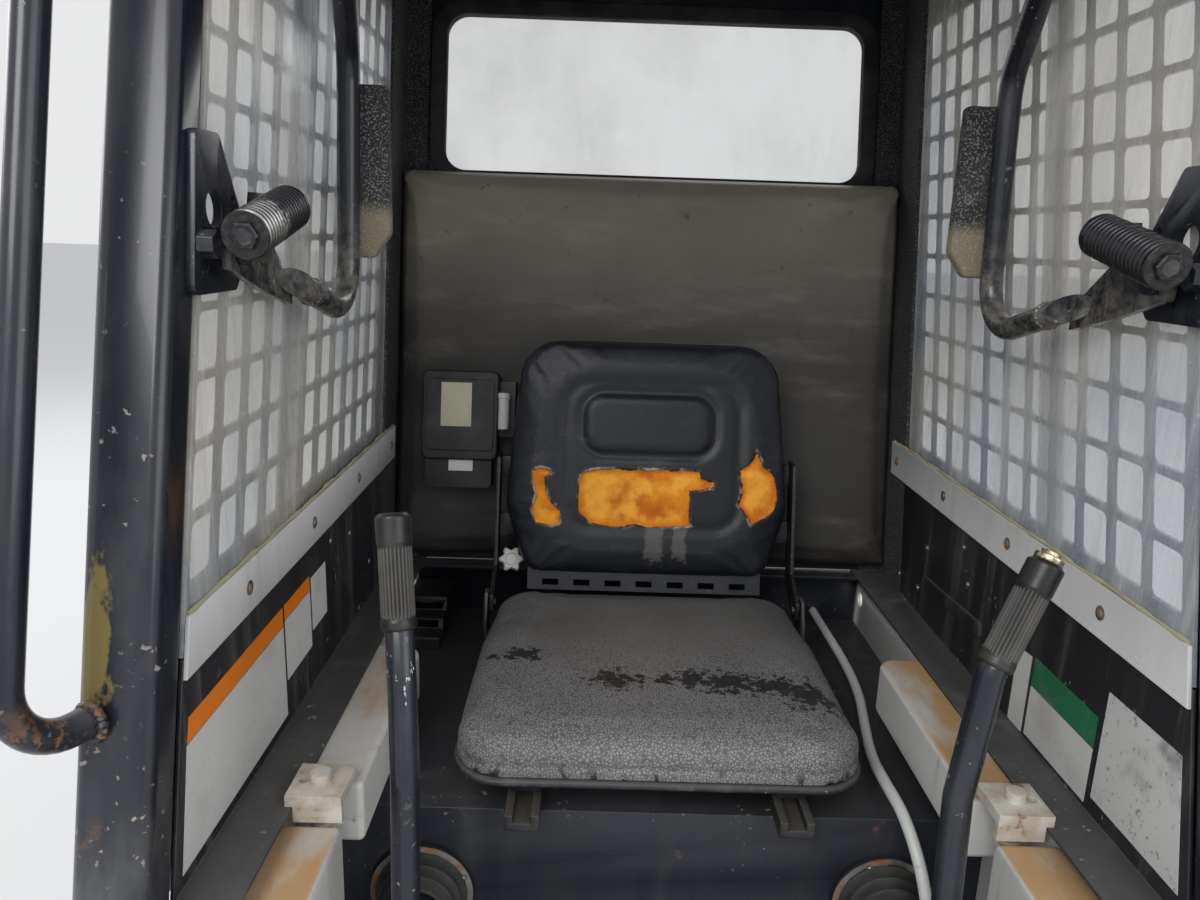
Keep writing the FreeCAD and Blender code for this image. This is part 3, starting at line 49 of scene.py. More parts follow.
BODY_OF = {node: body for body, nodes in RECORD["behaviour"]["bodies"].items() for node in nodes}

# Metres, X to the right seen from the open front, Y to the rear, Z up.
MM = 0.001
SIDES = (("left", -1), ("right", 1))
PILLAR_SLOPE = math.tan(math.radians(14.4))
REAR_RAKE = math.radians(11.5)
REAR_SLOPE = math.tan(REAR_RAKE)
BACK_RAKE = math.radians(13.9)
BACK_Y, BACK_Z = 0.220, 0.543
HALF_DEPTH = 0.627
PILLAR_DEPTH = 0.050
REAR_FOOT = 0.286
INNER_HALF = 0.430


def low(node):
    return Vector(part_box(node)[0])


def high(node):
    return Vector(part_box(node)[1])


def pillar_front(z):
    return z * PILLAR_SLOPE - HALF_DEPTH


def pillar_back(z):
    return pillar_front(z) + PILLAR_DEPTH


def rear_plane(z):
    return z * REAR_SLOPE + REAR_FOOT


# Camera

def look_through():
    """The photograph's camera: turned a little to the right, looking down, hand-held."""
    yaw, pitch, roll = math.radians(0.61), math.radians(13.56), math.radians(-1.95)
    level = math.cos(pitch)
    forward = Vector((math.sin(yaw) * level, math.cos(yaw) * level, -math.sin(pitch)))
    right = Vector((math.cos(yaw), -math.sin(yaw), 0))
    down = forward.cross(right)
    turned_right = right * math.cos(roll) + down * math.sin(roll)
    turned_down = down * math.cos(roll) - right * math.sin(roll)
    lens = bpy.data.cameras.new("camera")
    lens.sensor_width, lens.lens = 36, 26.4
    lens.clip_start = 0.02
    camera = bpy.data.objects.new("camera", lens)
    axes = Matrix((turned_right, -turned_down, -forward)).transposed()
    camera.matrix_world = Matrix.Translation((-0.091, -1.080, 1.060)) @ axes.to_4x4()
    bpy.context.scene.collection.objects.link(camera)
    bpy.context.scene.camera = camera


# Node trees

def colour(red, green=None, blue=None):
    return (red, red, red, 1) if green is None else (red, green, blue, 1)


class Wire:
    """A socket of a node tree. Arithmetic on it adds Math nodes."""

    def __init__(self, tree, socket):
        self.tree, self.socket = tree, socket

    def math(self, operation, *values):
        return self.tree.node("ShaderNodeMath", {"operation": operation}, values)

    def __add__(self, other):
        return self.math("ADD", self, other)

    __radd__ = __add__

    def __sub__(self, other):
        return self.math("SUBTRACT", self, other)

    def __rsub__(self, other):
        return self.math("SUBTRACT", other, self)

    def __mul__(self, other):
        return self.math("MULTIPLY", self, other)

    __rmul__ = __mul__

    def __truediv__(self, other):
        return self.math("DIVIDE", self, other)

    def __rtruediv__(self, other):
        return self.math("DIVIDE", other, self)

    def __pow__(self, other):
        return self.math("POWER", self, other)

    def least(self, other):
        return self.math("MINIMUM", self, other)

    def most(self, other):
        return self.math("MAXIMUM", self, other)

    def size(self):
        return self.math("ABSOLUTE", self)

    def ramp(self, start, end):
        """0 up to start, 1 from end on, smooth between them; start may be over end."""
        settings = {"interpolation_type": "SMOOTHSTEP"}
        return self.tree.node("ShaderNodeMapRange", settings, {0: self, 1: start, 2: end})

    def axis(self, index):
        return self.tree.node("ShaderNodeSeparateXYZ", {}, (self,), index)


class Tree:
    """Adds nodes to one node tree."""

    def __init__(self, tree):
        self.tree = tree

    def node(self, kind, settings=None, inputs=(), output=0):
        made = self.tree.nodes.new(kind)
        for key, value in (settings or {}).items():
            setattr(made, key, value)
        pairs = inputs.items() if isinstance(inputs, dict) else enumerate(inputs)
        for key, value in pairs:
            self.feed(made.inputs[key], value)
        return Wire(self, made.outputs[output]) if made.outputs else None

    def feed(self, socket, value):
        if isinstance(value, (list, tuple)) and value and isinstance(value[0], Wire):
            for wire in value:
                self.tree.links.new(wire.socket, socket)
        elif isinstance(value, Wire):
            self.tree.links.new(value.socket, socket)
        else:
            socket.default_value = value


class Finish(Tree):
    """A material under way, with the patterns that the finishes share."""

    def __init__(self, name):
        self.material = bpy.data.materials.new(name)
        self.material.use_nodes = True
        super().__init__(self.material.node_tree)
        self.tree.nodes.clear()
        self.place = self.node("ShaderNodeTexCoord", output=3)

    def at(self, stretch=(1, 1, 1), shift=(0, 0, 0), turn=(0, 0, 0)):
        inputs = {"Vector": self.place, "Location": shift, "Rotation": turn, "Scale": stretch}
        return self.node("ShaderNodeMapping", {}, inputs)

    def noise(self, scale, detail=3.0, stretch=(1, 1, 1), shift=(0, 0, 0), rough=0.55, turn=(0, 0, 0)):
        place = self.at(stretch, shift, turn)
        inputs = {"Vector": place, "Scale": scale, "Detail": detail, "Roughness": rough}
        return self.node("ShaderNodeTexNoise", {}, inputs)

    def cells(self, scale, feature="F1"):
        inputs = {"Vector": self.at(), "Scale": scale}
        return self.node("ShaderNodeTexVoronoi", {"feature": feature}, inputs)

    def mix(self, share, first, second):
        return self.node("ShaderNodeMix", {"data_type": "RGBA"}, {0: share, 6: first, 7: second}, 2)

    def facing(self, axis):
        return self.node("ShaderNodeNewGeometry", output=1).axis(axis)

    def attribute(self, name):
        return self.node("ShaderNodeAttribute", {"attribute_name": name}, output=2)

    def disc(self, centre, radii, axes=(0, 2)):
        """Distance from a spot in the plane of two axes, 1 at the radii."""
        first, second = (((self.place.axis(axis) - middle) / radius) ** 2
                         for axis, middle, radius in zip(axes, centre, radii))
        return (first + second) ** 0.5

    def pane(self, centre, halves):
        """Distance from the middle of an upright rectangle, 1 at its edges."""
        across = (self.place.axis(0) - centre[0]).size() / halves[0]
        return across.most((self.place.axis(2) - centre[1]).size() / halves[1])

    def done(self, base, roughness, relief=None, depth=MM, **fixed):
        """Ends the material in one Principled shader."""
        inputs = {"Base Color": base, "Roughness": roughness}
        if relief is not None:
            bump = {"Height": relief, "Distance": depth, "Strength": 1.0}
            inputs["Normal"] = self.node("ShaderNodeBump", {}, bump)
        names = {"metallic": "Metallic", "alpha": "Alpha", "coat": "Coat Weight", "ior": "IOR",
                 "specular": "Specular IOR Level", "under": "Subsurface Weight"}
        inputs.update({names[key]: value for key, value in fixed.items()})
        shader = self.node("ShaderNodeBsdfPrincipled", {}, inputs)
        self.node("ShaderNodeOutputMaterial", {}, (shader,))
        return self.material


# Finishes

def paint(name, dark, light, dust, dusty=0.35, gloss=0.3, chips=0.5, rust=0.5, seed=0.0, marks=None):
    """Sprayed enamel on steel: orange peel, dust streaks, chips and rust bloom, and marks of its own."""
    f = Finish(name)
    shift = (seed, seed * 2, -seed)
    cloud = f.noise(5, 4, shift=shift)
    streaks = f.noise(26, 5, (1, 1, 0.12), shift)
    settled = f.facing(2).ramp(0.3, 0.95)
    powder = (streaks.ramp(0.42, 0.78) * cloud.ramp(0.3, 0.75) + settled * 0.7) * dusty
    base = f.mix(cloud, dark, light)
    base = f.mix(powder, base, dust)
    patch = f.noise(9, 3, shift=shift).ramp(0.5, 0.66)
    fine = f.noise(120, 2, shift=shift)
    chip = fine.ramp(0.66, 0.70) * patch * chips
    bloom = f.noise(17, 6, shift=shift, rough=0.7).ramp(0.64, 0.74) * rust
    base = f.mix(chip, base, colour(0.33, 0.30, 0.26))
    brown = f.mix(fine, colour(0.13, 0.045, 0.018), colour(0.36, 0.15, 0.055))
    base = f.mix(bloom, base, brown)
    if marks:
        base = marks(f, base)
    rough = powder * 0.45 + chip * 0.3 + bloom * 0.55 + gloss
    relief = fine * 0.05 + f.noise(420, 1) * 0.02 - chip * 0.12 + bloom * 0.2
    return f.done(base, rough, relief, 0.4 * MM, coat=0.12)


def enamel(name, **changes):
    return paint(name, colour(0.0045, 0.0065, 0.0115), colour(0.013, 0.017, 0.026),
                 colour(0.125, 0.125, 0.125), dusty=0.36, gloss=0.26, chips=0.8, rust=0.35, **changes)


def black_enamel():
    return enamel("black_enamel")


def bar_enamel():
    """The seat bar's paint, with dried mud on its lower bends."""

    def marks(f, base):
        mud = f.noise(48, 6, rough=0.75).ramp(0.36, 0.66) * f.place.axis(2).ramp(1.12, 0.99)
        return f.mix(mud * 0.62, base, colour(0.25, 0.225, 0.18))

    return enamel("bar_enamel", seed=1.9, marks=marks)


def pillar_enamel():
    """The left pillar's paint: mud beside the handle's foot, dulled below it."""

    def marks(f, base):
        ragged = f.noise(38, 5, (1, 1, 0.5), rough=0.7)
        mud = (1.3 - f.disc((-0.481, 0.735), (0.017, 0.085)) + (ragged - 0.5) * 2.6).ramp(0.45, 0.75)
        dulled = f.place.axis(2).ramp(0.66, 0.50) * f.noise(20, 4, (1, 1, 0.3)).ramp(0.42, 0.7)
        base = f.mix(dulled * 0.55, base, colour(0.16, 0.165, 0.165))
        return f.mix(mud * 0.8, base, colour(0.22, 0.165, 0.055))

    return enamel("pillar_enamel", seed=8.2, marks=marks)


def handle_enamel():
    """Paint of the grab handles, rusting at the lower bend."""

    def marks(f, base):
        worn = f.place.axis(2).ramp(0.74, 0.66) * f.noise(48, 5, rough=0.7).ramp(0.50, 0.58)
        brown = f.mix(f.noise(150, 3), colour(0.12, 0.045, 0.018), colour(0.34, 0.15, 0.055))
        return f.mix(worn * 0.9, base, brown)

    return enamel("handle_enamel", seed=4.4, marks=marks)


def panel_black():

    def marks(f, base):
        smears = f.noise(19, 6, (1, 1, 0.07), rough=0.7).ramp(0.53, 0.74) * (1 - f.facing(2).size())
        return f.mix(smears * 0.42, base, colour(0.25, 0.245, 0.23))

    return paint("panel_black", colour(0.007, 0.008, 0.011), colour(0.021, 0.023, 0.027),
                 colour(0.16, 0.155, 0.145), dusty=0.5, gloss=0.42, chips=0.9, rust=0.15, seed=3.1,
                 marks=marks)


def pan_black():
    return paint("pan_black", colour(0.0045, 0.0065, 0.012), colour(0.014, 0.017, 0.026),
                 colour(0.062, 0.060, 0.058), dusty=0.5, gloss=0.46, chips=0.8, rust=0.5, seed=5.7)


def white_enamel():

    def marks(f, base):
        on_top = f.facing(2).ramp(0.6, 0.95)
        soaked = f.noise(11, 5, (1, 0.35, 1), rough=0.6).ramp(0.38, 0.57) * on_top
        runs = f.noise(40, 5, (1, 1, 0.1)).ramp(0.60, 0.78) * (1 - on_top) * 0.5
        base = f.mix(soaked * 0.85, base, colour(0.47, 0.255, 0.085))
        return f.mix(runs, base, colour(0.33, 0.235, 0.14))

    return paint("white_enamel", colour(0.58, 0.575, 0.55), colour(0.70, 0.695, 0.67),
                 colour(0.36, 0.32, 0.26), dusty=0.45, gloss=0.34, chips=0.25, rust=0.9, seed=1.3,
                 marks=marks)


def strip_white():
    return paint("strip_white", colour(0.56, 0.56, 0.56), colour(0.70, 0.70, 0.69),
                 colour(0.30, 0.29, 0.27), dusty=0.45, gloss=0.4, chips=0.5, rust=0.25, seed=2.2)


def runner_steel():
    return paint("runner_steel", colour(0.008, 0.008, 0.010), colour(0.024, 0.023, 0.024),
                 colour(0.11, 0.095, 0.075), dusty=0.7, gloss=0.4, chips=0.9, rust=1.0, seed=6.6)


def lever_enamel():
    """Paint of the drive levers, with a few white specks below the left grip."""

    def marks(f, base):
        height = f.place.axis(2)
        near = height.ramp(0.62, 0.66) * height.ramp(0.735, 0.70) * f.place.axis(0).ramp(-0.1, -0.2)
        specks = f.noise(95, 4, (1, 1, 0.45), rough=0.7).ramp(0.645, 0.675) * near
        return f.mix(specks, base, colour(0.55, 0.55, 0.53))

    return enamel("lever_enamel", seed=2.9, marks=marks)


def dull_steel():
    f = Finish("dull_steel")
    cloud, fine = f.noise(28, 5), f.noise(160, 3)
    rusty = cloud.ramp(0.42, 0.62)
    base = f.mix(fine, colour(0.20, 0.185, 0.165), colour(0.40, 0.385, 0.36))
    base = f.mix(rusty, base, f.mix(fine, colour(0.10, 0.04, 0.02), colour(0.30, 0.14, 0.06)))
    return f.done(base, rusty * 0.35 + 0.42, fine * 0.3 + cloud * 0.3, 0.6 * MM,
                  metallic=1 - rusty)


def clamp_cream():
    """Old cream paint on the hold-down plates, brown where it has gone."""
    f = Finish("clamp_cream")
    cloud, fine = f.noise(45, 5), f.noise(210, 3)
    soiled, bare = cloud.ramp(0.36, 0.66), cloud.ramp(0.60, 0.68)
    base = f.mix(fine, colour(0.56, 0.53, 0.46), colour(0.68, 0.655, 0.59))
    base = f.mix(soiled * 0.6, base, colour(0.40, 0.29, 0.185))
    base = f.mix(bare * 0.8, base, f.mix(fine, colour(0.13, 0.065, 0.03), colour(0.30, 0.18, 0.10)))
    return f.done(base, bare * 0.3 + 0.5, cloud * 0.5 - bare * 0.3, 0.8 * MM)


def zinc():
    f = Finish("zinc")
    fine = f.noise(300, 2)
    base = f.mix(fine, colour(0.42, 0.40, 0.37), colour(0.66, 0.65, 0.62))
    return f.done(base, fine * 0.25 + 0.28, metallic=1.0)


def dark_hardware():
    f = Finish("dark_hardware")
    fine = f.noise(180, 3)
    base = f.mix(fine.ramp(0.40, 0.75), colour(0.010, 0.010, 0.012), colour(0.045, 0.043, 0.042))
    return f.done(base, fine * 0.2 + 0.30, fine, 0.2 * MM, metallic=0.3)


def brass():
    f = Finish("brass")
    fine = f.noise(260, 3)
    base = f.mix(fine.ramp(0.4, 0.65), colour(0.70, 0.62, 0.46), colour(0.34, 0.25, 0.14))
    return f.done(base, fine * 0.3 + 0.18, metallic=1.0)


def clear_sheet():
    """Old polycarbonate: hazy, with rub marks down it and fine scratches."""
    f = Finish("clear_sheet")
    haze = f.noise(3.2, 4)
    streaks = f.noise(30, 6, (0.35, 1, 0.06), rough=0.65)
    rubs = f.noise(150, 4, (1, 1, 0.08), turn=(0.18, 0, 0), rough=0.7)
    spots = f.noise(230, 2).ramp(0.66, 0.72)
    milk = haze * 0.25 + streaks.ramp(0.38, 0.78) * 0.30 + rubs.ramp(0.55, 0.80) * 0.22 + spots * 0.2
    tint = f.mix(f.noise(2.1, 3).ramp(0.40, 0.62), colour(0.44, 0.485, 0.54), colour(0.62, 0.585, 0.51))
    base = f.mix(streaks.ramp(0.4, 0.8), tint, colour(0.74, 0.735, 0.71))
    return f.done(base, rubs * 0.35 + 0.12, rubs, 0.1 * MM, alpha=(milk + 0.27).least(0.88), ior=1.5)


def window_glass():
    f = Finish("window_glass")
    dust = f.noise(4, 5)
    wipe = f.noise(20, 4, (1, 1, 0.2))
    base = f.mix(dust, colour(0.60, 0.66, 0.68), colour(0.70, 0.68, 0.64))
    milk = dust.ramp(0.35, 0.8) * 0.14 + wipe.ramp(0.5, 0.8) * 0.04 + 0.10
    return f.done(base, dust * 0.1 + 0.03, alpha=milk, ior=1.5)


def speckled_foam(name="speckled_foam", dark=0.014, light=0.16, soiled_to=0.0):
    """Open dark foam with pale specks, as on the posts and the headliner."""
    f = Finish(name)
    pores = f.noise(240, 3, rough=0.7)
    specks = f.noise(430, 2).ramp(0.51, 0.62)
    wear = f.noise(6, 4).ramp(0.45, 0.75)
    base = f.mix(specks * 0.75 + wear * 0.12, colour(dark), colour(light, light, light * 0.97))
    soiled = f.place.axis(2).ramp(soiled_to + 0.012, soiled_to - 0.012) * (specks * 0.3 + 0.62)
    base = f.mix(soiled, base, colour(0.36, 0.30, 0.205))
    return f.done(base, pores * 0.15 + 0.78, pores + specks * 0.5, 0.9 * MM)


def pad_vinyl():
    """Brown-grey vinyl of the back pad, paler towards its top and darker towards the bottom."""
    f = Finish("pad_vinyl")
    cloud, grain = f.noise(5.5, 5), f.cells(520)
    smears = f.noise(14, 5, (0.3, 1, 1.2), turn=(0, 0.75, 0), rough=0.65)
    height = f.place.axis(2)
    # Pale grey-brown towards the top and along the smears, darker towards the bottom.
    rubbed = height.ramp(0.84, 1.16) * (cloud * 0.6 + 0.45) + smears.ramp(0.48, 0.8) * 0.30
    base = f.mix(cloud, colour(0.020, 0.019, 0.018), colour(0.048, 0.044, 0.039))
    base = f.mix(rubbed.least(1), base, colour(0.30, 0.27, 0.22))
    stains = f.noise(34, 4).ramp(0.64, 0.72) * 0.5
    base = f.mix(stains, base, colour(0.03, 0.026, 0.021))
    return f.done(base, cloud * 0.2 + 0.52, grain + cloud * 0.5, 0.35 * MM)


# Middle, and half width and length, of the dark blots on the cushion
CUSHION_BLOTS = [(-0.213, 0.001, 0.012, 0.009), (-0.170, 0.006, 0.028, 0.018),
                 (-0.052, -0.055, 0.030, 0.026), (-0.020, -0.046, 0.010, 0.008),
                 (0.012, -0.050, 0.013, 0.010), (0.046, -0.048, 0.030, 0.024),
                 (0.095, -0.058, 0.044, 0.029), (0.150, -0.064, 0.036, 0.026),
                 (0.190, -0.085, 0.034, 0.036)]


def cushion_vinyl():
    """Pebbled grey vinyl of the seat, its skin worn away in dark blots."""
    f = Finish("cushion_vinyl")
    pebbles = f.cells(270, "DISTANCE_TO_EDGE")
    cloud = f.noise(7, 4)
    across, along = f.place.axis(0), f.place.axis(1)
    rubbed = along.ramp(0.16, -0.06).most(across.ramp(-0.10, -0.19) * 0.8 * cloud.ramp(0.3, 0.6))
    pale = f.mix(cloud, colour(0.195, 0.193, 0.188), colour(0.300, 0.297, 0.287))
    dull = f.mix(cloud, colour(0.082, 0.081, 0.078), colour(0.140, 0.138, 0.131))
    top = f.mix(rubbed * 0.75 + cloud * 0.25, dull, pale)
    groove = pebbles.ramp(0.19, 0.05)
    # Painted shade: the grooves between the pebbles are darkened, most where the top is pale.
    base = f.mix(groove * (rubbed * 0.42 + 0.30), top, colour(0.030, 0.030, 0.032))
    ragged = f.noise(78, 4, rough=0.72)
    blots = None
    for x, y, wide, long in CUSHION_BLOTS:
        spot = 1.35 - f.disc((x, y), (wide, long), (0, 1)) + (ragged - 0.5) * 5.2
        spot = spot.ramp(0.45, 0.60)
        blots = spot if blots is None else blots.most(spot)
    edge_wear = f.place.axis(2).ramp(0.485, 0.465) * f.noise(60, 3, (1, 1, 0.4)).ramp(0.56, 0.62)
    blots = blots.most(edge_wear)
    base = f.mix(blots, base, colour(0.022, 0.023, 0.025))
    relief = (1 - groove) * 0.6 - blots * 0.8 + cloud * 0.3
    return f.done(base, blots * -0.12 + 0.58, relief, 0.35 * MM)


def backrest_vinyl():
    """Black leathercloth of the backrest, torn open over orange foam."""
    f = Finish("backrest_vinyl")
    grain, cloud = f.cells(620), f.noise(9, 4)
    scuffs = f.noise(30, 6, (0.4, 1, 1), rough=0.7)
    base = f.mix(cloud, colour(0.005, 0.006, 0.009), colour(0.013, 0.016, 0.021))
    base = f.mix(scuffs.ramp(0.54, 0.82) * 0.45, base, colour(0.10, 0.098, 0.093))
    ragged = (f.noise(75, 5, rough=0.7) - 0.5) * 1.8
    left, right = ((1.25 - f.pane(middle, halves) + ragged).ramp(0.2, 0.5) for middle, halves in
                   (((0.012, 0.594), (0.015, 0.030)), ((0.052, 0.598), (0.012, 0.028))))
    drips = left.most(right)
    base = f.mix(drips * 0.5, base, colour(0.15, 0.145, 0.13))
    edge = f.noise(55, 4, rough=0.65)
    torn = f.attribute("torn") + (edge - 0.5) * 0.42
    open_foam = torn.ramp(0.49, 0.53)
    rim = torn.ramp(0.30, 0.44) * (1 - open_foam) * f.noise(30, 5, rough=0.7).ramp(0.45, 0.62)
    # Painted highlight: the open foam is painted a brighter orange towards the middle of each tear,
    # which leaves it darker near the torn lip as painted shade.
    highlit_foam_middle = f.attribute("torn").ramp(0.55, 1.05)
    foam = f.mix(f.noise(16, 5, rough=0.65).ramp(0.36, 0.66), colour(0.56, 0.130, 0.003),
                 colour(0.86, 0.320, 0.015))
    foam = f.mix(highlit_foam_middle * f.noise(26, 4).ramp(0.38, 0.62) * 0.8, foam, colour(1.0, 0.47, 0.055))
    # Painted shade: darker orange flecks in the foam's crevices.
    foam = f.mix(f.noise(90, 4, rough=0.7).ramp(0.58, 0.76) * 0.6, foam, colour(0.42, 0.11, 0.010))
    base = f.mix(rim * 0.9, base, colour(0.46, 0.41, 0.34))
    base = f.mix(open_foam, base, foam)
    rough = open_foam * 0.5 - scuffs * 0.1 + 0.36
    relief = grain * 0.5 + rim * 2.5 - open_foam * 1.5 + f.noise(200, 3) * open_foam * 1.6
    return f.done(base, rough, relief, 0.5 * MM, specular=0.35)


def rubber(name="rubber", dark=0.012, light=0.055, dusty=0.6):
    f = Finish(name)
    cloud, fine = f.noise(24, 4), f.noise(260, 3)
    base = f.mix(cloud.ramp(0.35, 0.75) * dusty, colour(dark), colour(light, light * 0.97, light * 0.9))
    return f.done(base, fine * 0.2 + 0.55, fine, 0.2 * MM)


def grip_rubber():
    """Handle rubber, worn brown-grey on the crests of its flutes."""
    f = Finish("grip_rubber")
    cloud, fine = f.noise(16, 4), f.noise(320, 3)
    crest = f.attribute("crest")
    worn = (crest * 0.75 + cloud.ramp(0.4, 0.7) * 0.35).least(1)
    base = f.mix(worn, colour(0.006, 0.006, 0.007), colour(0.078, 0.072, 0.062))
    return f.done(base, crest * 0.2 + fine * 0.15 + 0.30, fine, 0.12 * MM)


def spring_finish():
    """Spring wire: black lacquer, rubbed to bare metal at the front coils."""
    f = Finish("spring_finish")
    fine = f.noise(220, 3)
    bare = (fine - 0.5) * 0.6 + f.attribute("rubbed")
    bare = bare.ramp(0.45, 0.6)
    base = f.mix(bare, colour(0.010, 0.011, 0.014), colour(0.36, 0.355, 0.345))
    return f.done(base, fine * 0.2 + 0.25, metallic=bare)


def moulded(name, dark, light, gloss=0.45, pitch=380):
    f = Finish(name)
    cloud, fine = f.noise(14, 4), f.noise(pitch, 2)
    base = f.mix(cloud.ramp(0.4, 0.75), dark, light)
    return f.done(base, cloud * 0.2 + gloss, fine, 0.15 * MM)


def box_plastic():
    return moulded("box_plastic", colour(0.010, 0.010, 0.011), colour(0.038, 0.037, 0.035), 0.40)


def knob_plastic():
    return moulded("knob_plastic", colour(0.48, 0.47, 0.45), colour(0.62, 0.61, 0.59), 0.4, 120)


def white_barrel():
    return moulded("white_barrel", colour(0.60, 0.61, 0.62), colour(0.72, 0.72, 0.72), 0.35, 90)


def milky_hose():
    f = Finish("milky_hose")
    cloud = f.noise(22, 4)
    base = f.mix(cloud, colour(0.50, 0.52, 0.50), colour(0.62, 0.62, 0.585))
    base = f.mix(f.noise(60, 3).ramp(0.62, 0.75) * 0.5, base, colour(0.30, 0.25, 0.18))
    return f.done(base, cloud * 0.15 + 0.28, under=0.15)


def sticker(name, ground, wear, worn=0.5):
    """Blank printed film with faded, scuffed and lifted patches."""
    f = Finish(name)
    cloud, fine = f.noise(14, 5), f.noise(150, 3)
    rubbed = (cloud.ramp(0.50, 0.72) * 0.7 + fine.ramp(0.60, 0.72) * 0.6) * worn
    base = f.mix(rubbed.least(1), ground, wear)
    return f.done(base, cloud * 0.2 + 0.32, fine * 0.3 + cloud, 0.2 * MM)


def sealant():
    f = Finish("sealant")
    cloud = f.noise(40, 4)
    base = f.mix(cloud, colour(0.30, 0.26, 0.15), colour(0.52, 0.48, 0.34))
    return f.done(base, cloud * 0.2 + 0.5, cloud, 0.6 * MM)


FINISHES = {}


def finish(maker, *values):
    """Makes each finish once."""
    key = (maker.__name__,) + values
    if key not in FINISHES:
        FINISHES[key] = maker(*values)
    return FINISHES[key]


# Making pieces

def own(name, mesh, material, body, stands_for=()):
    """Gives a finished mesh its material and body, and hides the nodes that it stands for."""
    piece = bpy.data.objects.new(name, mesh)
    bpy.context.scene.collection.objects.link(piece)
    mesh.materials.clear()
    mesh.materials.append(material)
    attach(piece, body)
    if stands_for:
        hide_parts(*stands_for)
    return piece


def to_mesh(name, bm, smooth=40):
    """Closes a bmesh: doubles merged, faces outwards, smooth up to an angle."""
    bmesh.ops.remove_doubles(bm, verts=bm.verts, dist=1e-6)
    bmesh.ops.recalc_face_normals(bm, faces=bm.faces)
    limit = math.radians(smooth)
    for face in bm.faces:
        face.smooth = True
    for edge in bm.edges:
        edge.smooth = len(edge.link_faces) == 2 and edge.calc_face_angle() < limit
    mesh = bpy.data.meshes.new(name)
    bm.to_mesh(mesh)
    bm.free()
    return mesh


def around(steps):
    """Cosine and sine at equal steps round a circle."""
    angles = [2 * math.pi * step / steps for step in range(steps)]
    return [(math.cos(angle), math.sin(angle)) for angle in angles]


def ring_stack(bm, rings, closed=False):
    """Skins a list of rings of points; caps the two ends unless the stack is closed."""
    loops = [[bm.verts.new(p) for p in ring] for ring in rings]
    count = len(loops[0])
    pairs = list(zip(loops, loops[1:])) + ([(loops[-1], loops[0])] if closed else [])
    for below, above in pairs:
        for i in range(count):
            j = (i + 1) % count
            bm.faces.new((below[i], below[j], above[j], above[i]))
    if not closed:
        bm.faces.new(loops[0][::-1])
        bm.faces.new(loops[-1])
    return loops


def turned(bm, profile, place, steps=48, closed=False):
    """Turns a profile of (radius, height) about a placed Z axis."""
    ring_stack(bm, [[place @ Vector((radius * cos, radius * sin, height)) for cos, sin in around(steps)]
                    for radius, height in profile], closed)


def axis_frame(start, along, side=(0, 0, 1)):
    """A placement with its Z axis along a direction."""
    z = Vector(along).normalized()
    x = Vector(side).cross(z)
    if x.length < 1e-3:
        x = Vector((1, 0, 0)).cross(z)
    x.normalize()
    y = z.cross(x)
    turn = Matrix((x, y, z)).transposed().to_4x4()
    return Matrix.Translation(Vector(start)) @ turn


def bent_path(points, bend, steps=10):
    """Points along straight runs with round bends."""
    points = [Vector(p) for p in points]
    line = [points[0]]
    for before, corner, after in zip(points, points[1:], points[2:]):
        come, leave = (before - corner).normalized(), (after - corner).normalized()
        half = come.angle(leave) / 2
        back = bend / math.tan(half)
        centre = corner + (come + leave).normalized() * (bend / math.sin(half))
        first, last = corner + come * back - centre, corner + leave * back - centre
        turn = first.angle(last)
        for step in range(steps + 1):
            share = step / steps
            come_by, leave_by = math.sin((1 - share) * turn), math.sin(share * turn)
            line.append(centre + (first * come_by + last * leave_by) / math.sin(turn))
    line.append(points[-1])
    return line


def tube(bm, line, radius, steps=24):
    """Round tube along a list of points, its radius a number or one for each point."""
    radii = radius if isinstance(radius, (list, tuple)) else [radius] * len(line)
    side = Vector((0, 0, 1)).cross(line[1] - line[0])
    if side.length < 1e-6:
        side = Vector((1, 0, 0))
    side.normalize()
    rings = []
    for i, spot in enumerate(line):
        before, after = line[max(i - 1, 0)], line[min(i + 1, len(line) - 1)]
        along = (after - before).normalized()
        side = (side - along * side.dot(along)).normalized()
        up = along.cross(side)
        rings.append([spot + (side * cos + up * sin) * radii[i] for cos, sin in around(steps)])
    ring_stack(bm, rings)


def slab(bm, corners, thickness, normal):
    """A thin plate: an outline given a thickness along its normal."""
    push = Vector(normal).normalized() * thickness
    near = [bm.verts.new(Vector(p)) for p in corners]
    far = [bm.verts.new(Vector(p) + push) for p in corners]
    bm.faces.new(near[::-1])
    bm.faces.new(far)
    count = len(corners)
    for i in range(count):
        j = (i + 1) % count
        bm.faces.new((near[i], near[j], far[j], far[i]))


def rounded_corners(width, height, radius, steps=4):
    """Outline of a rectangle with round corners about its middle."""
    outline = []
    for turn, (x, y) in enumerate(((1, 1), (-1, 1), (-1, -1), (1, -1))):
        for step in range(steps + 1):
            angle = math.pi / 2 * (turn + step / steps)
            outline.append((x * (width / 2 - radius) + radius * math.cos(angle),
                            y * (height / 2 - radius) + radius * math.sin(angle)))
    return outline


def copy_of(node):
    """A closed copy of a CAD node's mesh as a bmesh."""
    bm = bmesh.new()
    bm.from_mesh(NODES[node].data)
    bmesh.ops.remove_doubles(bm, verts=bm.verts, dist=1e-5)
    return bm


# Geometry Nodes

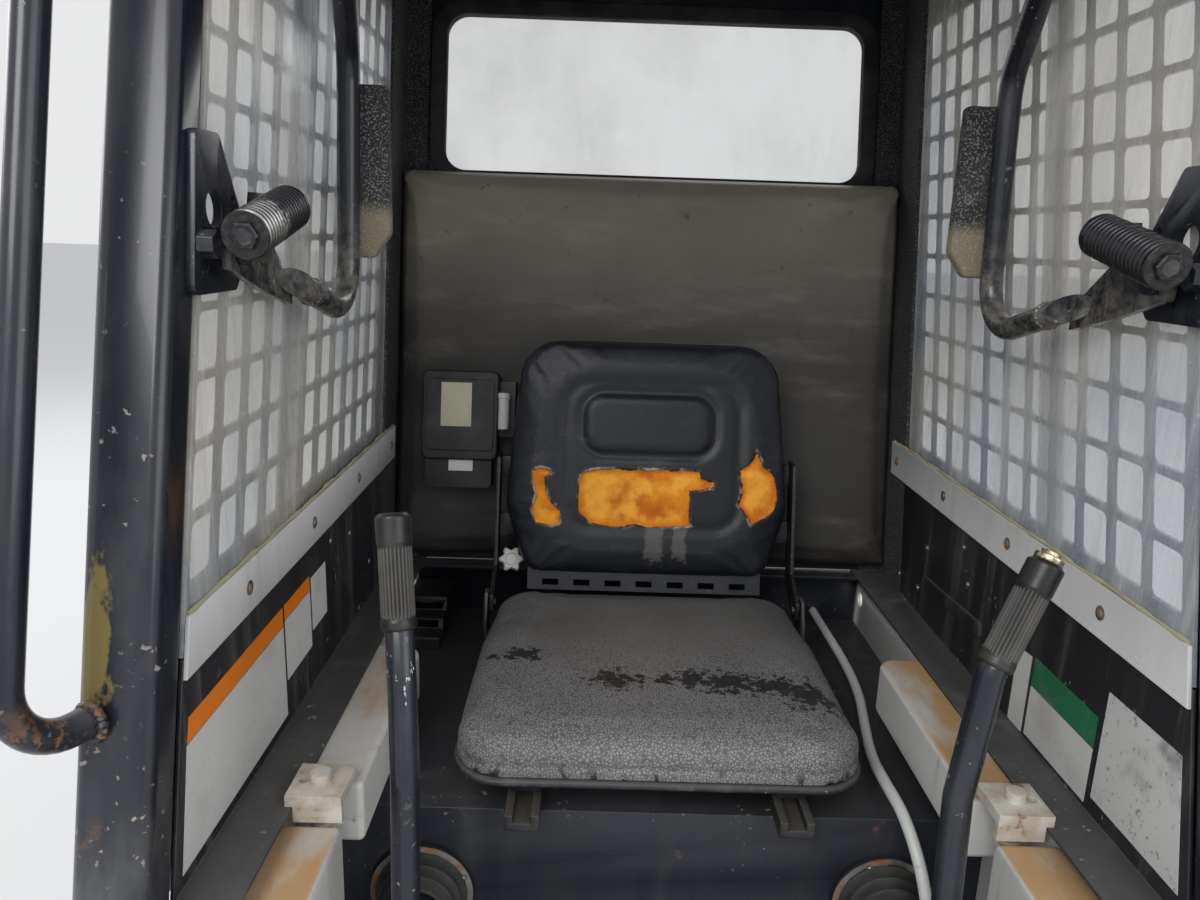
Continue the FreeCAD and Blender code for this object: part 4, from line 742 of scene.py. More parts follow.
class Shape(Tree):
    """A geometry tree with named inputs, run once and turned into a plain mesh."""

    def __init__(self, name, sizes):
        self.name = name
        super().__init__(bpy.data.node_groups.new(name, "GeometryNodeTree"))
        self.entry = self.tree.nodes.new("NodeGroupInput")
        self.sizes = sizes
        kinds = {float: "NodeSocketFloat", int: "NodeSocketInt", Vector: "NodeSocketVector"}
        for key, value in sizes.items():
            self.tree.interface.new_socket(key, in_out="INPUT", socket_type=kinds[type(value)])
        self.tree.interface.new_socket("Geometry", in_out="OUTPUT", socket_type="NodeSocketGeometry")

    def size(self, key):
        return Wire(self, self.entry.outputs[key])

    def point(self, x=0.0, y=0.0, z=0.0):
        return self.node("ShaderNodeCombineXYZ", {}, (x, y, z))

    def done(self, geometry, material):
        solid = self.node("GeometryNodeRealizeInstances", {}, (geometry,))
        dressed = self.node("GeometryNodeSetMaterial", {}, {"Geometry": solid, "Material": material})
        leave = self.tree.nodes.new("NodeGroupOutput")
        self.feed(leave.inputs[0], dressed)

    def run(self, **changed):
        """The mesh for these sizes."""
        holder = bpy.data.objects.new(self.name, bpy.data.meshes.new(self.name))
        bpy.context.scene.collection.objects.link(holder)
        modifier = holder.modifiers.new(self.name, "NODES")
        modifier.node_group = self.tree
        for item in self.tree.interface.items_tree:
            if item.in_out == "INPUT":
                modifier[item.identifier] = changed.get(item.name, self.sizes[item.name])
        graph = bpy.context.evaluated_depsgraph_get()
        mesh = bpy.data.meshes.new_from_object(holder.evaluated_get(graph))
        holder.modifiers.remove(modifier)
        bpy.data.objects.remove(holder)
        return mesh


def moved(mesh, place):
    mesh.transform(place)
    return mesh


def screen_shape():
    """Side plate with a leaning grid of round-cornered square holes."""
    s = Shape("side_screen", {"columns": 11, "rows": 11, "pitch": 0.061, "hole": 0.053,
                              "corner": 0.007, "edge": 0.034, "first": 0.748, "low": 0.5,
                              "high": 1.506, "rake": PILLAR_SLOPE, "low_depth": 1.0,
                              "high_depth": 1.0, "sheet": 0.006})
    hole = s.node("GeometryNodeCurvePrimitiveQuadrilateral", {}, {0: s.size("hole"), 1: s.size("hole")})
    hole = s.node("GeometryNodeFilletCurve", {"mode": "POLY"},
                  {"Curve": hole, "Radius": s.size("corner"), "Count": 4})
    wide = (s.size("columns") - 1) * s.size("pitch")
    tall = (s.size("rows") - 1) * s.size("pitch")
    grid = s.node("GeometryNodeMeshGrid", {},
                  {"Size X": wide, "Size Y": tall, "Vertices X": s.size("columns"),
                   "Vertices Y": s.size("rows")})
    middle = s.point(s.size("edge") + wide / 2 + s.size("hole") / 2,
                     s.size("first") + tall / 2 + s.size("hole") / 2)
    grid = s.node("GeometryNodeTransform", {}, {"Geometry": grid, "Translation": middle})
    holes = s.node("GeometryNodeInstanceOnPoints", {}, {"Points": grid, "Instance": hole})
    holes = s.node("GeometryNodeRealizeInstances", {}, (holes,))
    outer = s.node("GeometryNodeCurvePrimitiveQuadrilateral", {"mode": "POINTS"}, {
        "Point 1": s.point(0.0, s.size("low")),
        "Point 2": s.point(s.size("low_depth"), s.size("low")),
        "Point 3": s.point(s.size("high_depth"), s.size("high")),
        "Point 4": s.point(0.0, s.size("high"))})
    curves = s.node("GeometryNodeJoinGeometry", {}, {0: [outer, holes]})
    face = s.node("GeometryNodeFillCurve", {}, {"Curve": curves})
    thick = s.node("GeometryNodeExtrudeMesh", {"mode": "FACES"},
                   {"Mesh": face, "Offset Scale": s.size("sheet"), "Individual": False})
    back = s.node("GeometryNodeFlipFaces", {}, (face,))
    solid = s.node("GeometryNodeJoinGeometry", {}, {0: [thick, back]})
    solid = s.node("GeometryNodeMergeByDistance", {}, {"Geometry": solid, "Distance": 1e-5})
    spot = s.node("GeometryNodeInputPosition")
    across, up = spot.axis(0), spot.axis(1)
    leaning = s.point(spot.axis(2), across + up * s.size("rake") - (HALF_DEPTH - PILLAR_DEPTH), up)
    s.done(s.node("GeometryNodeSetPosition", {}, {"Geometry": solid, "Position": leaning}),
           finish(black_enamel))
    return s


def row_shape(name, material):
    """A row of domed fasteners with washers between two points, standing along Z."""
    s = Shape(name, {"start": Vector((0, 0, 0)), "end": Vector((0, 0, 0)), "count": 4,
                     "radius": 0.006, "rise": 0.003})
    line = s.node("GeometryNodeMeshLine", {"mode": "END_POINTS"},
                  {"Count": s.size("count"), "Start Location": s.size("start"),
                   "Offset": s.size("end")})
    dome = s.node("GeometryNodeMeshUVSphere", {},
                  {"Segments": 14, "Rings": 8, "Radius": s.size("radius")})
    flat = s.point(1.0, 1.0, s.size("rise") / s.size("radius"))
    dome = s.node("GeometryNodeTransform", {}, {"Geometry": dome, "Scale": flat})
    washer = s.node("GeometryNodeMeshCylinder", {}, {"Vertices": 18, "Radius": s.size("radius") * 1.45,
                                                     "Depth": s.size("rise") * 0.5})
    head = s.node("GeometryNodeJoinGeometry", {}, {0: [dome, washer]})
    heads = s.node("GeometryNodeInstanceOnPoints", {}, {"Points": line, "Instance": head})
    s.done(heads, material)
    return s


def coil_shape():
    """Wound wire about the Z axis."""
    s = Shape("coil", {"turns": 16.0, "radius": 0.0172, "length": 0.104, "wire": 0.0034, "bare": 0.95})
    path = s.node("GeometryNodeCurveSpiral", {}, {"Resolution": 22, "Rotations": s.size("turns"),
                                                  "Start Radius": s.size("radius"),
                                                  "End Radius": s.size("radius"),
                                                  "Height": s.size("length")})
    section = s.node("GeometryNodeCurvePrimitiveCircle", {}, {"Resolution": 8, "Radius": s.size("wire")})
    wire = s.node("GeometryNodeCurveToMesh", {},
                  {"Curve": path, "Profile Curve": section, "Fill Caps": True})
    share = s.node("GeometryNodeInputPosition").axis(2) / s.size("length")
    wire = s.node("GeometryNodeStoreNamedAttribute", {"domain": "POINT", "data_type": "FLOAT"},
                  {"Geometry": wire, "Name": "rubbed", "Value": s.size("bare") - share * 1.1})
    wire = s.node("GeometryNodeSetShadeSmooth", {}, (wire,))
    s.done(wire, finish(spring_finish))
    return s


def worked(mesh, *modifiers):
    """A mesh after modifiers, each given as (type, settings)."""
    holder = bpy.data.objects.new("holder", mesh)
    bpy.context.scene.collection.objects.link(holder)
    for kind, settings in modifiers:
        modifier = holder.modifiers.new(kind, kind)
        for key, value in settings.items():
            setattr(modifier, key, value)
    graph = bpy.context.evaluated_depsgraph_get()
    result = bpy.data.meshes.new_from_object(holder.evaluated_get(graph))
    bpy.data.objects.remove(holder)
    return result


def eased(mesh, width, segments=2):
    """Sharp edges rounded."""
    for face in mesh.polygons:
        face.use_smooth = True
    settings = {"width": width, "segments": segments, "limit_method": "ANGLE",
                "angle_limit": math.radians(34), "harden_normals": True, "use_clamp_overlap": True}
    return worked(mesh, ("BEVEL", settings))


def dressed(node, material, edge=1.2 * MM, segments=2):
    """The CAD sub-part itself, its sheet edges rounded, in its finish."""
    bm = copy_of(node)
    bmesh.ops.dissolve_limit(bm, angle_limit=math.radians(0.5), verts=bm.verts, edges=bm.edges)
    mesh = bpy.data.meshes.new(node + "_skin")
    bm.to_mesh(mesh)
    bm.free()
    mesh = eased(mesh, edge, segments)
    return own(node + "_skin", mesh, material, BODY_OF[node], stands_for=(node,))


def built(name, fill, material, body, stands_for=(), smooth=40):
    """A piece from a function that fills a bmesh."""
    bm = bmesh.new()
    fill(bm)
    return own(name, to_mesh(name, bm, smooth), material, body, stands_for)


# Shell

def make_shell():
    enamel_black, foam = finish(black_enamel), finish(speckled_foam)
    for side_name, side in SIDES:
        pillar = finish(pillar_enamel) if side < 0 else enamel_black
        dressed("pillar_" + side_name, pillar, 0.6 * MM)
        dressed("rear_post_" + side_name, foam, 3 * MM, 3)
        dressed("side_lining_" + side_name, finish(panel_black))
        dressed("retainer_strip_" + side_name, finish(strip_white), 0.8 * MM)
        for where in ("front", "rear"):
            dressed(f"pane_{where}_{side_name}", finish(clear_sheet), 0.5 * MM)
        dressed("bar_bracket_" + side_name, enamel_black, 1.5 * MM, 3)
        make_handle(side_name, side)
        make_screen(side_name, side)
    dressed("front_header", enamel_black, 0.8 * MM)
    dressed("roof_panel", enamel_black)
    dressed("rear_wall", finish(pan_black))
    dressed("rear_seal", finish(rubber), 2.5 * MM, 3)
    dressed("rear_glass", finish(window_glass), 0.5 * MM)


def make_screen(side_name, side):
    """Outer plate with its grid of round-cornered holes, all by rule."""
    sizes, near, over_roof, behind = SCREEN.sizes, 0.442, 0.060, 0.012
    foot, top = sizes["low"], high("side_screen_left").z
    foot_depth, top_depth = (rear_plane(z) + behind - pillar_back(z) for z in (foot, top))
    rows = int((top - over_roof - sizes["first"]) // sizes["pitch"])
    columns = int((top_depth - 2 * sizes["edge"]) // sizes["pitch"])
    mesh = SCREEN.run(columns=columns, rows=rows, high=top, low_depth=foot_depth, high_depth=top_depth)
    start = near if side > 0 else -near - sizes["sheet"]
    own("side_screen_skin_" + side_name, moved(mesh, Matrix.Translation((start, 0, 0))),
        finish(black_enamel), "cab", stands_for=("side_screen_" + side_name,))


def make_handle(side_name, side):
    """Grab handle: bent tube with a bead of weld at each foot."""
    radius, bend, stand, sunk, x = 13.35 * MM, 0.045, 0.065, 0.004, 0.508
    pillar_edge, inset = 0.493, 0.002
    foot_x = pillar_edge - radius - inset
    lower, upper = 0.676, 1.330
    points = [(side * foot_x, pillar_front(lower) + sunk, lower),
              (side * x, pillar_front(lower) - stand, lower),
              (side * x, pillar_front(upper) - stand, upper),
              (side * foot_x, pillar_front(upper) + sunk, upper)]

    def fill(bm):
        tube(bm, bent_path(points, bend, 12), radius, 36)
        for end, after in ((points[0], points[1]), (points[-1], points[-2])):
            weld(bm, axis_frame(Vector(end) - Vector((0, 0.006, 0)), Vector(after) - Vector(end)),
                 radius, 4 * MM)

    built("grab_handle_skin_" + side_name, fill, finish(handle_enamel), "cab",
          stands_for=("grab_handle_" + side_name,))


def weld(bm, place, radius, size, steps=60):
    """Uneven bead of weld round a tube."""
    rings = []
    for step in range(steps):
        angle = 2 * math.pi * step / steps
        swell = size * (1 + 0.22 * math.sin(angle * 17) + 0.12 * math.sin(angle * 5 + 1))
        out, up = Vector((math.cos(angle), math.sin(angle), 0)), Vector((0, 0, 1))
        rings.append([place @ (out * radius + (out * cos + up * sin) * swell) for cos, sin in around(8)])
    ring_stack(bm, rings, closed=True)


# Tub

def make_tub():
    white, dark = finish(white_enamel), finish(panel_black)
    for side_name, side in SIDES:
        dressed("tub_wall_" + side_name, white)
        dressed("front_upright_" + side_name, white, 5 * MM, 3)
        dressed("hold_down_" + side_name, finish(clamp_cream), 2 * MM, 3)
        dressed("lever_pivot_" + side_name, dark)
        dressed("seat_runner_" + side_name, finish(runner_steel), 1 * MM)
        make_rail(side_name, side)
        make_boot(side_name, side)
        make_lever(side_name)
    dressed("floor_plate", finish(pan_black))
    dressed("rear_cross_plate", finish(pan_black))
    dressed("seat_pan", finish(pan_black))
    dressed("side_box", finish(box_plastic), 3 * MM, 3)


def make_rail(side_name, side):
    """Folded frame rail, closed at its front end, with a round inner corner at its back."""
    node, corner, steps = "frame_rail_" + side_name, 24 * MM, 8
    near, far = low(node), high(node)
    outer, inner = (near.x, far.x) if side < 0 else (far.x, near.x)
    outline = [(outer, near.y), (inner, near.y)]
    for step in range(steps + 1):
        angle = math.pi / 2 * step / steps
        outline.append((inner + side * corner * (1 - math.cos(angle)),
                        far.y - corner * (1 - math.sin(angle))))
    outline.append((outer, far.y))
    bm = bmesh.new()
    slab(bm, [(x, y, near.z) for x, y in outline], far.z - near.z, (0, 0, 1))
    mesh = eased(to_mesh(node, bm), 7 * MM, 5)
    own(node + "_skin", mesh, finish(white_enamel), "cab", stands_for=(node,))


def make_boot(side_name, side):
    """Clamp ring and three soft folds of rubber, open at the neck."""
    place = axis_frame((side * 0.276, -0.175, 0.295), (0, -1, 0))
    ring, neck, reach, folds = 0.060, 0.030, 0.046, 3
    profile = [(neck, 0.0), (ring - 0.003, 0.0), (ring, 0.0015), (ring, 0.005), (ring - 0.004, 0.0072)]
    start, end = (ring - 0.008, 0.0078), (neck + 0.005, reach - 0.003)
    waves = 12 * folds
    for step in range(waves + 1):
        share = step / waves
        radius = start[0] + (end[0] - start[0]) * share + 0.0042 * math.sin(share * folds * 2 * math.pi)
        profile.append((radius, start[1] + (end[1] - start[1]) * share))
    profile += [(neck + 0.003, reach), (neck, reach - 0.002)]
    built("boot_skin_" + side_name, lambda bm: turned(bm, profile, place, 72, closed=True),
          finish(rubber), "cab", stands_for=("boot_" + side_name,))
    on_ring = Matrix.Translation((-ring + 0.0065, 0, 0.0088))
    rivets("boot_rivets_" + side_name,
           [place @ Matrix.Rotation(0.4 + quarter * math.pi / 2, 4, "Z") @ on_ring
            for quarter in (0, 1, 2, -1)], 0.0032, finish(dull_steel))
    rim = [(ring - 0.014, 0.0060), (ring + 0.0008, 0.0060), (ring + 0.0012, 0.0075),
           (ring - 0.0130, 0.0095)]
    built("boot_ring_" + side_name, lambda bm: turned(bm, rim, place, 72, closed=True),
          finish(dull_steel), "cab")


def make_lever(side_name):
    dressed("lever_" + side_name, finish(lever_enamel), 0.6 * MM)
    make_grip(side_name)
    if side_name == "right":
        dressed("lever_button", finish(brass), 1 * MM, 3)


def grip_line(side_name):
    """Lower end, direction and length of a grip."""
    spot = {"left": ((-20, 42, 355), (-5, 85, 509), 0.36),
            "right": ((-2, 32, 397), (44, 54, 492), 0.06)}[side_name]
    side = dict(SIDES)[side_name]

    def at(out, back, up):
        return Vector((side * (276 + out), -392 + back, 295 + up)) * MM

    knee, top = at(*spot[0]), at(*spot[1])
    start = knee + (top - knee) * spot[2]
    return start, (top - knee).normalized(), (top - start).length + 0.004


def make_grip(side_name):
    """Sleeve with flutes along it between a ring below and a smooth cap above."""
    start, along, length = grip_line(side_name)
    place = axis_frame(start, along)
    mesh = moved(GRIP.run(length=length), place)
    own("grip_skin_" + side_name, mesh, finish(grip_rubber), BODY_OF["grip_" + side_name],
        stands_for=("grip_" + side_name,))


def grip_shape():
    """Fluted sleeve along Z: a wave round it between its collars."""
    s = Shape("grip", {"length": 0.105, "radius": 0.0165, "flutes": 26.0, "groove": 0.0016,
                       "foot": 0.010, "cap": 0.030})
    line = s.node("GeometryNodeCurvePrimitiveLine", {}, {"End": s.point(0.0, 0.0, s.size("length"))})
    line = s.node("GeometryNodeResampleCurve", {}, {"Curve": line, "Count": 120})
    ring = s.node("GeometryNodeCurvePrimitiveCircle", {},
                  {"Resolution": 208, "Radius": s.size("radius")})
    sleeve = s.node("GeometryNodeCurveToMesh", {},
                    {"Curve": line, "Profile Curve": ring, "Fill Caps": True})
    spot = s.node("GeometryNodeInputPosition")
    height = spot.axis(2)
    angle = s.node("ShaderNodeMath", {"operation": "ARCTAN2"}, (spot.axis(1), spot.axis(0)))
    wave = (angle * s.size("flutes")).math("COSINE", angle * s.size("flutes")) * 0.5 + 0.5
    wave = wave.ramp(0.1, 0.7)
    from_top = s.size("length") - height
    fluted = height.ramp(s.size("foot"), s.size("foot") + 0.004)
    fluted = fluted * from_top.ramp(s.size("cap"), s.size("cap") + 0.003)
    waist = height.ramp(s.size("foot") - 0.002, s.size("foot")) * from_top.ramp(s.size("cap") - 0.003,
                                                                               s.size("cap"))
    ends = 1 - height.ramp(0.003, 0.0) ** 2 * 0.10 - from_top.ramp(0.005, 0.0) ** 2 * 0.22
    scale = (1 - (1 - wave) * fluted * s.size("groove") / s.size("radius")
             - waist * 0.045) * ends
    moved_to = s.point(spot.axis(0) * scale, spot.axis(1) * scale, height)
    shaped = s.node("GeometryNodeSetPosition", {}, {"Geometry": sleeve, "Position": moved_to})
    stored = s.node("GeometryNodeStoreNamedAttribute", {"domain": "POINT", "data_type": "FLOAT"},
                    {"Geometry": shaped, "Name": "crest", "Value": wave * fluted})
    stored = s.node("GeometryNodeSetShadeSmooth", {}, (stored,))
    s.done(stored, finish(grip_rubber))
    return s


SCREWS = row_shape("screws", finish(dull_steel))
SCREEN = screen_shape()
GRIP = grip_shape()
COIL = coil_shape()


# Seat bar

def make_bar():
    dressed("seat_bar", finish(bar_enamel), 0.8 * MM)
    for side_name, side in SIDES:
        elbow = Vector((side * 0.394, 0.01203, 0.955))
        tube_start = Vector((side * 0.394, -0.20997, 1.016))
        place = axis_frame(tube_start + (elbow - tube_start) * 0.36, elbow - tube_start)
        built("bar_weld_" + side_name, lambda bm: weld(bm, place, 13.0 * MM, 2.6 * MM),
              finish(bar_enamel), "bar")
        pivot = Vector((side * 0.376, -0.28497, 1.040))
        rise = math.radians(13.3)
        start = pivot + Vector((0, -0.062, 0.012))
        place = axis_frame(start, (0, math.cos(rise), math.sin(rise)))
        coil = COIL.run(bare=0.95 if side < 0 else 0.30)
        coil = moved(coil, place @ Matrix.Translation((0, 0, 0.004)))
        own("bar_spring_coil_" + side_name, coil, finish(spring_finish), "bar",
            stands_for=("bar_spring_" + side_name,))
        nut = [(0.0076, -0.0040), (0.0108, -0.0040), (0.0122, -0.0028), (0.0122, 0.0040),
               (0.0076, 0.0040)]
        built("bar_spring_nut_" + side_name, lambda bm: turned(bm, nut, place, 6, closed=True),
              finish(dark_hardware), "bar", smooth=20)
        core = [(0.0074, 0.0), (0.0192, 0.0), (0.0202, 0.0012), (0.0192, 0.0032), (0.0140, 0.0040),
                (0.0140, 0.106), (0.0200, 0.1065), (0.0205, 0.109), (0.0195, 0.1115), (0.0074, 0.112)]
        built("bar_spring_core_" + side_name, lambda bm: turned(bm, core, place, 40, closed=True),
              finish(dark_hardware), "bar")


# Soft pieces

def puffed(name, mesh, voxel, pressure, held, most, frames=20, ease=1.0):
    """Blows a closed shape up against its own cloth; held(co) is 1 where the cover is fixed."""
    base = worked(mesh, ("REMESH", {"mode": "VOXEL", "voxel_size": voxel, "use_smooth_shade": True}))
    start = [v.co.copy() for v in base.vertices]
    holder = bpy.data.objects.new(name + "_cloth", base)
    bpy.context.scene.collection.objects.link(holder)
    group = holder.vertex_groups.new(name="held")
    for index, co in enumerate(start):
        group.add([index], held(co), "REPLACE")
    cloth = holder.modifiers.new("cloth", "CLOTH")
    settings = cloth.settings
    settings.use_pressure = True
    settings.uniform_pressure_force = pressure
    settings.effector_weights.gravity = 0
    settings.vertex_group_mass = "held"
    settings.tension_stiffness = settings.compression_stiffness = 30
    settings.bending_stiffness = 1.5
    settings.quality = 3
    cloth.collision_settings.use_collision = False
    cloth.point_cache.frame_start, cloth.point_cache.frame_end = 1, frames
    scene = bpy.context.scene
    for number in range(1, frames + 1):
        scene.frame_set(number)
    graph = bpy.context.evaluated_depsgraph_get()
    moved_mesh = bpy.data.meshes.new_from_object(holder.evaluated_get(graph))
    for vertex, rest in zip(moved_mesh.vertices, start):
        step = (vertex.co - rest) * ease
        if step.length > most:
            step *= most / step.length
        vertex.co = rest + step
    bpy.data.objects.remove(holder)
    scene.frame_set(1)
    base = moved_mesh
    return worked(base, ("SUBSURF", {"levels": 1}))


def shaped(mesh, change):
    """Moves every vertex of a mesh by a function of its place."""
    for vertex in mesh.vertices:
        vertex.co = change(vertex.co.copy())
    mesh.update()
    return mesh


def soft_start(node, shrink):
    """A CAD solid's own shape, a little smaller all round."""
    bm = copy_of(node)
    bmesh.ops.recalc_face_normals(bm, faces=bm.faces)
    mesh = bpy.data.meshes.new(node + "_start")
    bm.to_mesh(mesh)
    bm.free()
    middle = (low(node) + high(node)) / 2
    half = (high(node) - low(node)) / 2
    scale = Vector([(h - shrink) / h for h in half])
    return shaped(mesh, lambda co: Vector([m + (c - m) * k for c, m, k in zip(co, middle, scale)]))


def smooth_step(value, start, end):
    share = min(max((value - start) / (end - start), 0), 1)
    return share * share * (3 - 2 * share)


def make_cushion():
    """Seat cushion: blown up over its tray, a seam pinched in round it, a hollow in its top."""
    node = "seat_cushion"
    top, base = high(node).z, low(node).z
    mesh = puffed("seat_cushion", soft_start(node, 1.5 * MM), 6 * MM, 3.0,
                  lambda co: 1.0 if co.z < base + 0.012 else 0.0, 6 * MM, ease=0.4)
    seam, half_seam, pinch = base + 0.016, 0.006, 3.2 * MM
    sink, crown = 7 * MM, top + 0.008

    def press(co):
        away = abs(co.z - seam)
        outwards = Vector((co.x, co.y - 0.02, 0)).normalized()
        if away < half_seam:
            co -= outwards * ((1 - away / half_seam) ** 2 * pinch)
        hollow = math.exp(-((co.x / 0.16) ** 2 + ((co.y - 0.06) / 0.15) ** 2))
        if co.z > base + 0.03:
            co.z = min(co.z - hollow * sink, crown)
        return co

    piece = own("seat_cushion_cover", shaped(mesh, press), finish(cushion_vinyl), "seat",
                stands_for=(node,))


def back_place(u, v, out=0.0):
    """A point on the backrest's face: across, up its slope and out from it."""
    lean = BACK_RAKE
    return Vector((u, BACK_Y + v * math.sin(lean) - out * math.cos(lean),
                   BACK_Z + v * math.cos(lean) + out * math.sin(lean)))


def back_local(co):
    """The reverse of back_place."""
    lean = BACK_RAKE
    y, z = co.y - BACK_Y, co.z - BACK_Z
    return (co.x, y * math.sin(lean) + z * math.cos(lean), -y * math.cos(lean) + z * math.sin(lean))


def box_distance(u, v, middle, half, radius):
    """Distance to a rectangle with round corners, negative inside."""
    du, dv = abs(u - middle[0]) - half[0] + radius, abs(v - middle[1]) - half[1] + radius
    return math.hypot(max(du, 0), max(dv, 0)) + min(max(du, dv), 0) - radius


# Outlines of the tears, in millimetres across and up the backrest's face
TEARS = {
    "left": [(-183, 163), (-168, 168), (-150, 160), (-163, 152), (-161, 132), (-150, 112), (-136, 100),
             (-137, 80), (-152, 77), (-174, 82), (-181, 100), (-174, 128), (-180, 148)],
    "middle": [(-108, 150), (-100, 163), (-70, 168), (0, 168), (82, 169), (84, 158), (106, 152),
               (104, 143), (66, 138), (68, 82), (0, 78), (-20, 82), (-44, 76), (-92, 84), (-108, 100)],
    "right": [(145, 172), (160, 182), (171, 204), (179, 180), (200, 164), (205, 128), (198, 108),
              (187, 98), (165, 88), (158, 100), (143, 118), (150, 140)],
}


def inside_distance(point, outline):
    """Distance to an outline, negative inside it."""
    x, y = point
    nearest, crossings = 1e9, 0
    for (x0, y0), (x1, y1) in zip(outline, outline[1:] + outline[:1]):
        dx, dy = x1 - x0, y1 - y0
        share = min(max(((x - x0) * dx + (y - y0) * dy) / (dx * dx + dy * dy), 0), 1)
        nearest = min(nearest, math.hypot(x - x0 - share * dx, y - y0 - share * dy))
        if (y0 > y) != (y1 > y) and x < x0 + (y - y0) * dx / dy:
            crossings += 1
    return -nearest if crossings % 2 else nearest


def tear_distance(u, v):
    """Millimetres to the nearest tear, negative inside one, 12 anywhere far from them."""
    u, v = u / MM, v / MM
    if not 62 < v < 216:
        return 12.0
    nearest = 12.0
    for outline in TEARS.values():
        across = [x for x, _ in outline]
        if min(across) - 12 < u < max(across) + 12:
            nearest = min(nearest, inside_distance((u, v), outline))
    return nearest


def make_backrest():
    """Backrest cover: a pressed panel inside a wider groove, and three tears."""
    node = "backrest_cushion"
    panel_shape = (-0.001, 0.240), (0.106, 0.050), 0.036
    field_shape = (0.006, 0.190), (0.136, 0.112), 0.040
    outwards = Vector((0, -math.cos(BACK_RAKE), math.sin(BACK_RAKE)))
    mesh = puffed("backrest_cushion", soft_start(node, 2 * MM), 5.5 * MM, 2.5,
                  lambda co: 1.0 if back_local(co)[2] < -0.028 else 0.0, 6 * MM, ease=0.55)

    def press(co):
        u, v, out = back_local(co)
        if out > -0.02:
            panel = box_distance(u, v, *panel_shape)
            field = box_distance(u, v, *field_shape)
            groove = 3.4 * MM * math.exp(-(panel / 0.0075) ** 2)
            wide_groove = 3.6 * MM * math.exp(-(field / 0.011) ** 2)
            raised = 2.2 * MM * smooth_step(-panel, 0, 0.02)
            lowered = 2.0 * MM * smooth_step(-field, 0, 0.02)
            torn_away = 4.5 * MM * smooth_step(-tear_distance(u, v), -0.5, 3.5)
            co += outwards * (raised - groove - wide_groove - lowered - torn_away)
        return co

    mesh = shaped(mesh, press)
    torn = mesh.attributes.new("torn", "FLOAT", "POINT")
    for index, vertex in enumerate(mesh.vertices):
        u, v, out = back_local(vertex.co)
        torn.data[index].value = 0.5 - tear_distance(u, v) / 24 if out > -0.025 else 0.0
    piece = own("backrest_cover", mesh, finish(backrest_vinyl), "backrest", stands_for=(node,))


def make_back_pad():
    """Wide pad on the rear wall: soft edges and a few slack folds."""
    node = "back_pad"
    front = lambda co: co.y - rear_plane(co.z)
    mesh = puffed("back_pad", soft_start(node, 2 * MM), 8 * MM, 2.0,
                  lambda co: 1.0 if front(co) > -0.020 else 0.0, 7 * MM)

    def slacken(co):
        if front(co) < -0.02:
            wave = math.sin(co.x * 19 + co.z * 8) * math.sin(co.z * 13 + 1.3)
            co.y += 1.6 * MM * wave
        return co

    piece = own("back_pad_cover", shaped(mesh, slacken), finish(pad_vinyl), "cab", stands_for=(node,))


def make_soft():
    make_cushion()
    make_backrest()
    make_back_pad()
    foam = finish(speckled_foam, "armrest_foam", 0.016, 0.24, 1.085)
    for side_name, _ in SIDES:
        node = "armrest_" + side_name
        back = high(node).y
        mesh = puffed(node, soft_start(node, 1 * MM), 4 * MM, 2.0,
                      lambda co: 1.0 if co.y > back - 0.008 else 0.0, 4 * MM)
        piece = own(node + "_cover", mesh, foam, "bar", stands_for=(node,))
    node = "headliner"
    roof = high(node).z
    mesh = puffed(node, soft_start(node, 1 * MM), 11 * MM, 0.8,
                  lambda co: 1.0 if co.z > roof - 0.012 else 0.0, 6 * MM)
    piece = own("headliner_foam", mesh, finish(speckled_foam), "cab", stands_for=(node,))


# Seat frame and small parts

def make_seat_frame():
    dressed("seat_base", finish(panel_black), 1.5 * MM)
    dressed("backrest_frame", finish(dark_hardware), 1 * MM)
    make_tray_rim()
    make_hinge_plate()
    make_knob()


def make_hinge_plate():
    """Slotted plate along the backrest's lower edge, between its arms."""
    half, foot, top, depth, slots, slot = 0.186, -0.027, 0.014, 0.022, 7, 0.026
    low_bar, high_bar = foot + 0.007, foot + 0.017
    gap = (2 * half - slots * slot) / (slots + 1)
    boxes = [(-half, half, foot, low_bar), (-half, half, high_bar, top)]
    boxes += [(-half + (slot + gap) * k, -half + (slot + gap) * k + gap, low_bar, high_bar)
              for k in range(slots + 1)]

    def fill(bm):
        for left, right, under, over in boxes:
            corners = [back_place(u, v, -depth) for u, v in
                       ((left, under), (right, under), (right, over), (left, over))]
            slab(bm, corners, 2.5 * MM, (0, 1, 0))

    built("backrest_hinge_plate", fill, finish(pan_black), "backrest")


def make_tray_rim():
    """Rolled lip of the tray round the front of the cushion."""
    half, front, corner, end, z = 0.2375, -0.1965, 0.060, 0.070, 0.4565
    points = [(-half, end, z), (-half, front, z), (half, front, z), (half, end, z)]
    line = bent_path(points, corner, 14)

    def fill(bm):
        tube(bm, line, 6.0 * MM, 16)
        for vertex in bm.verts:
            vertex.co.z = z + (vertex.co.z - z) * 0.85 - 0.0015 * math.sin(vertex.co.x * 38) ** 2

    built("seat_tray_rim", fill, finish(panel_black), "seat")


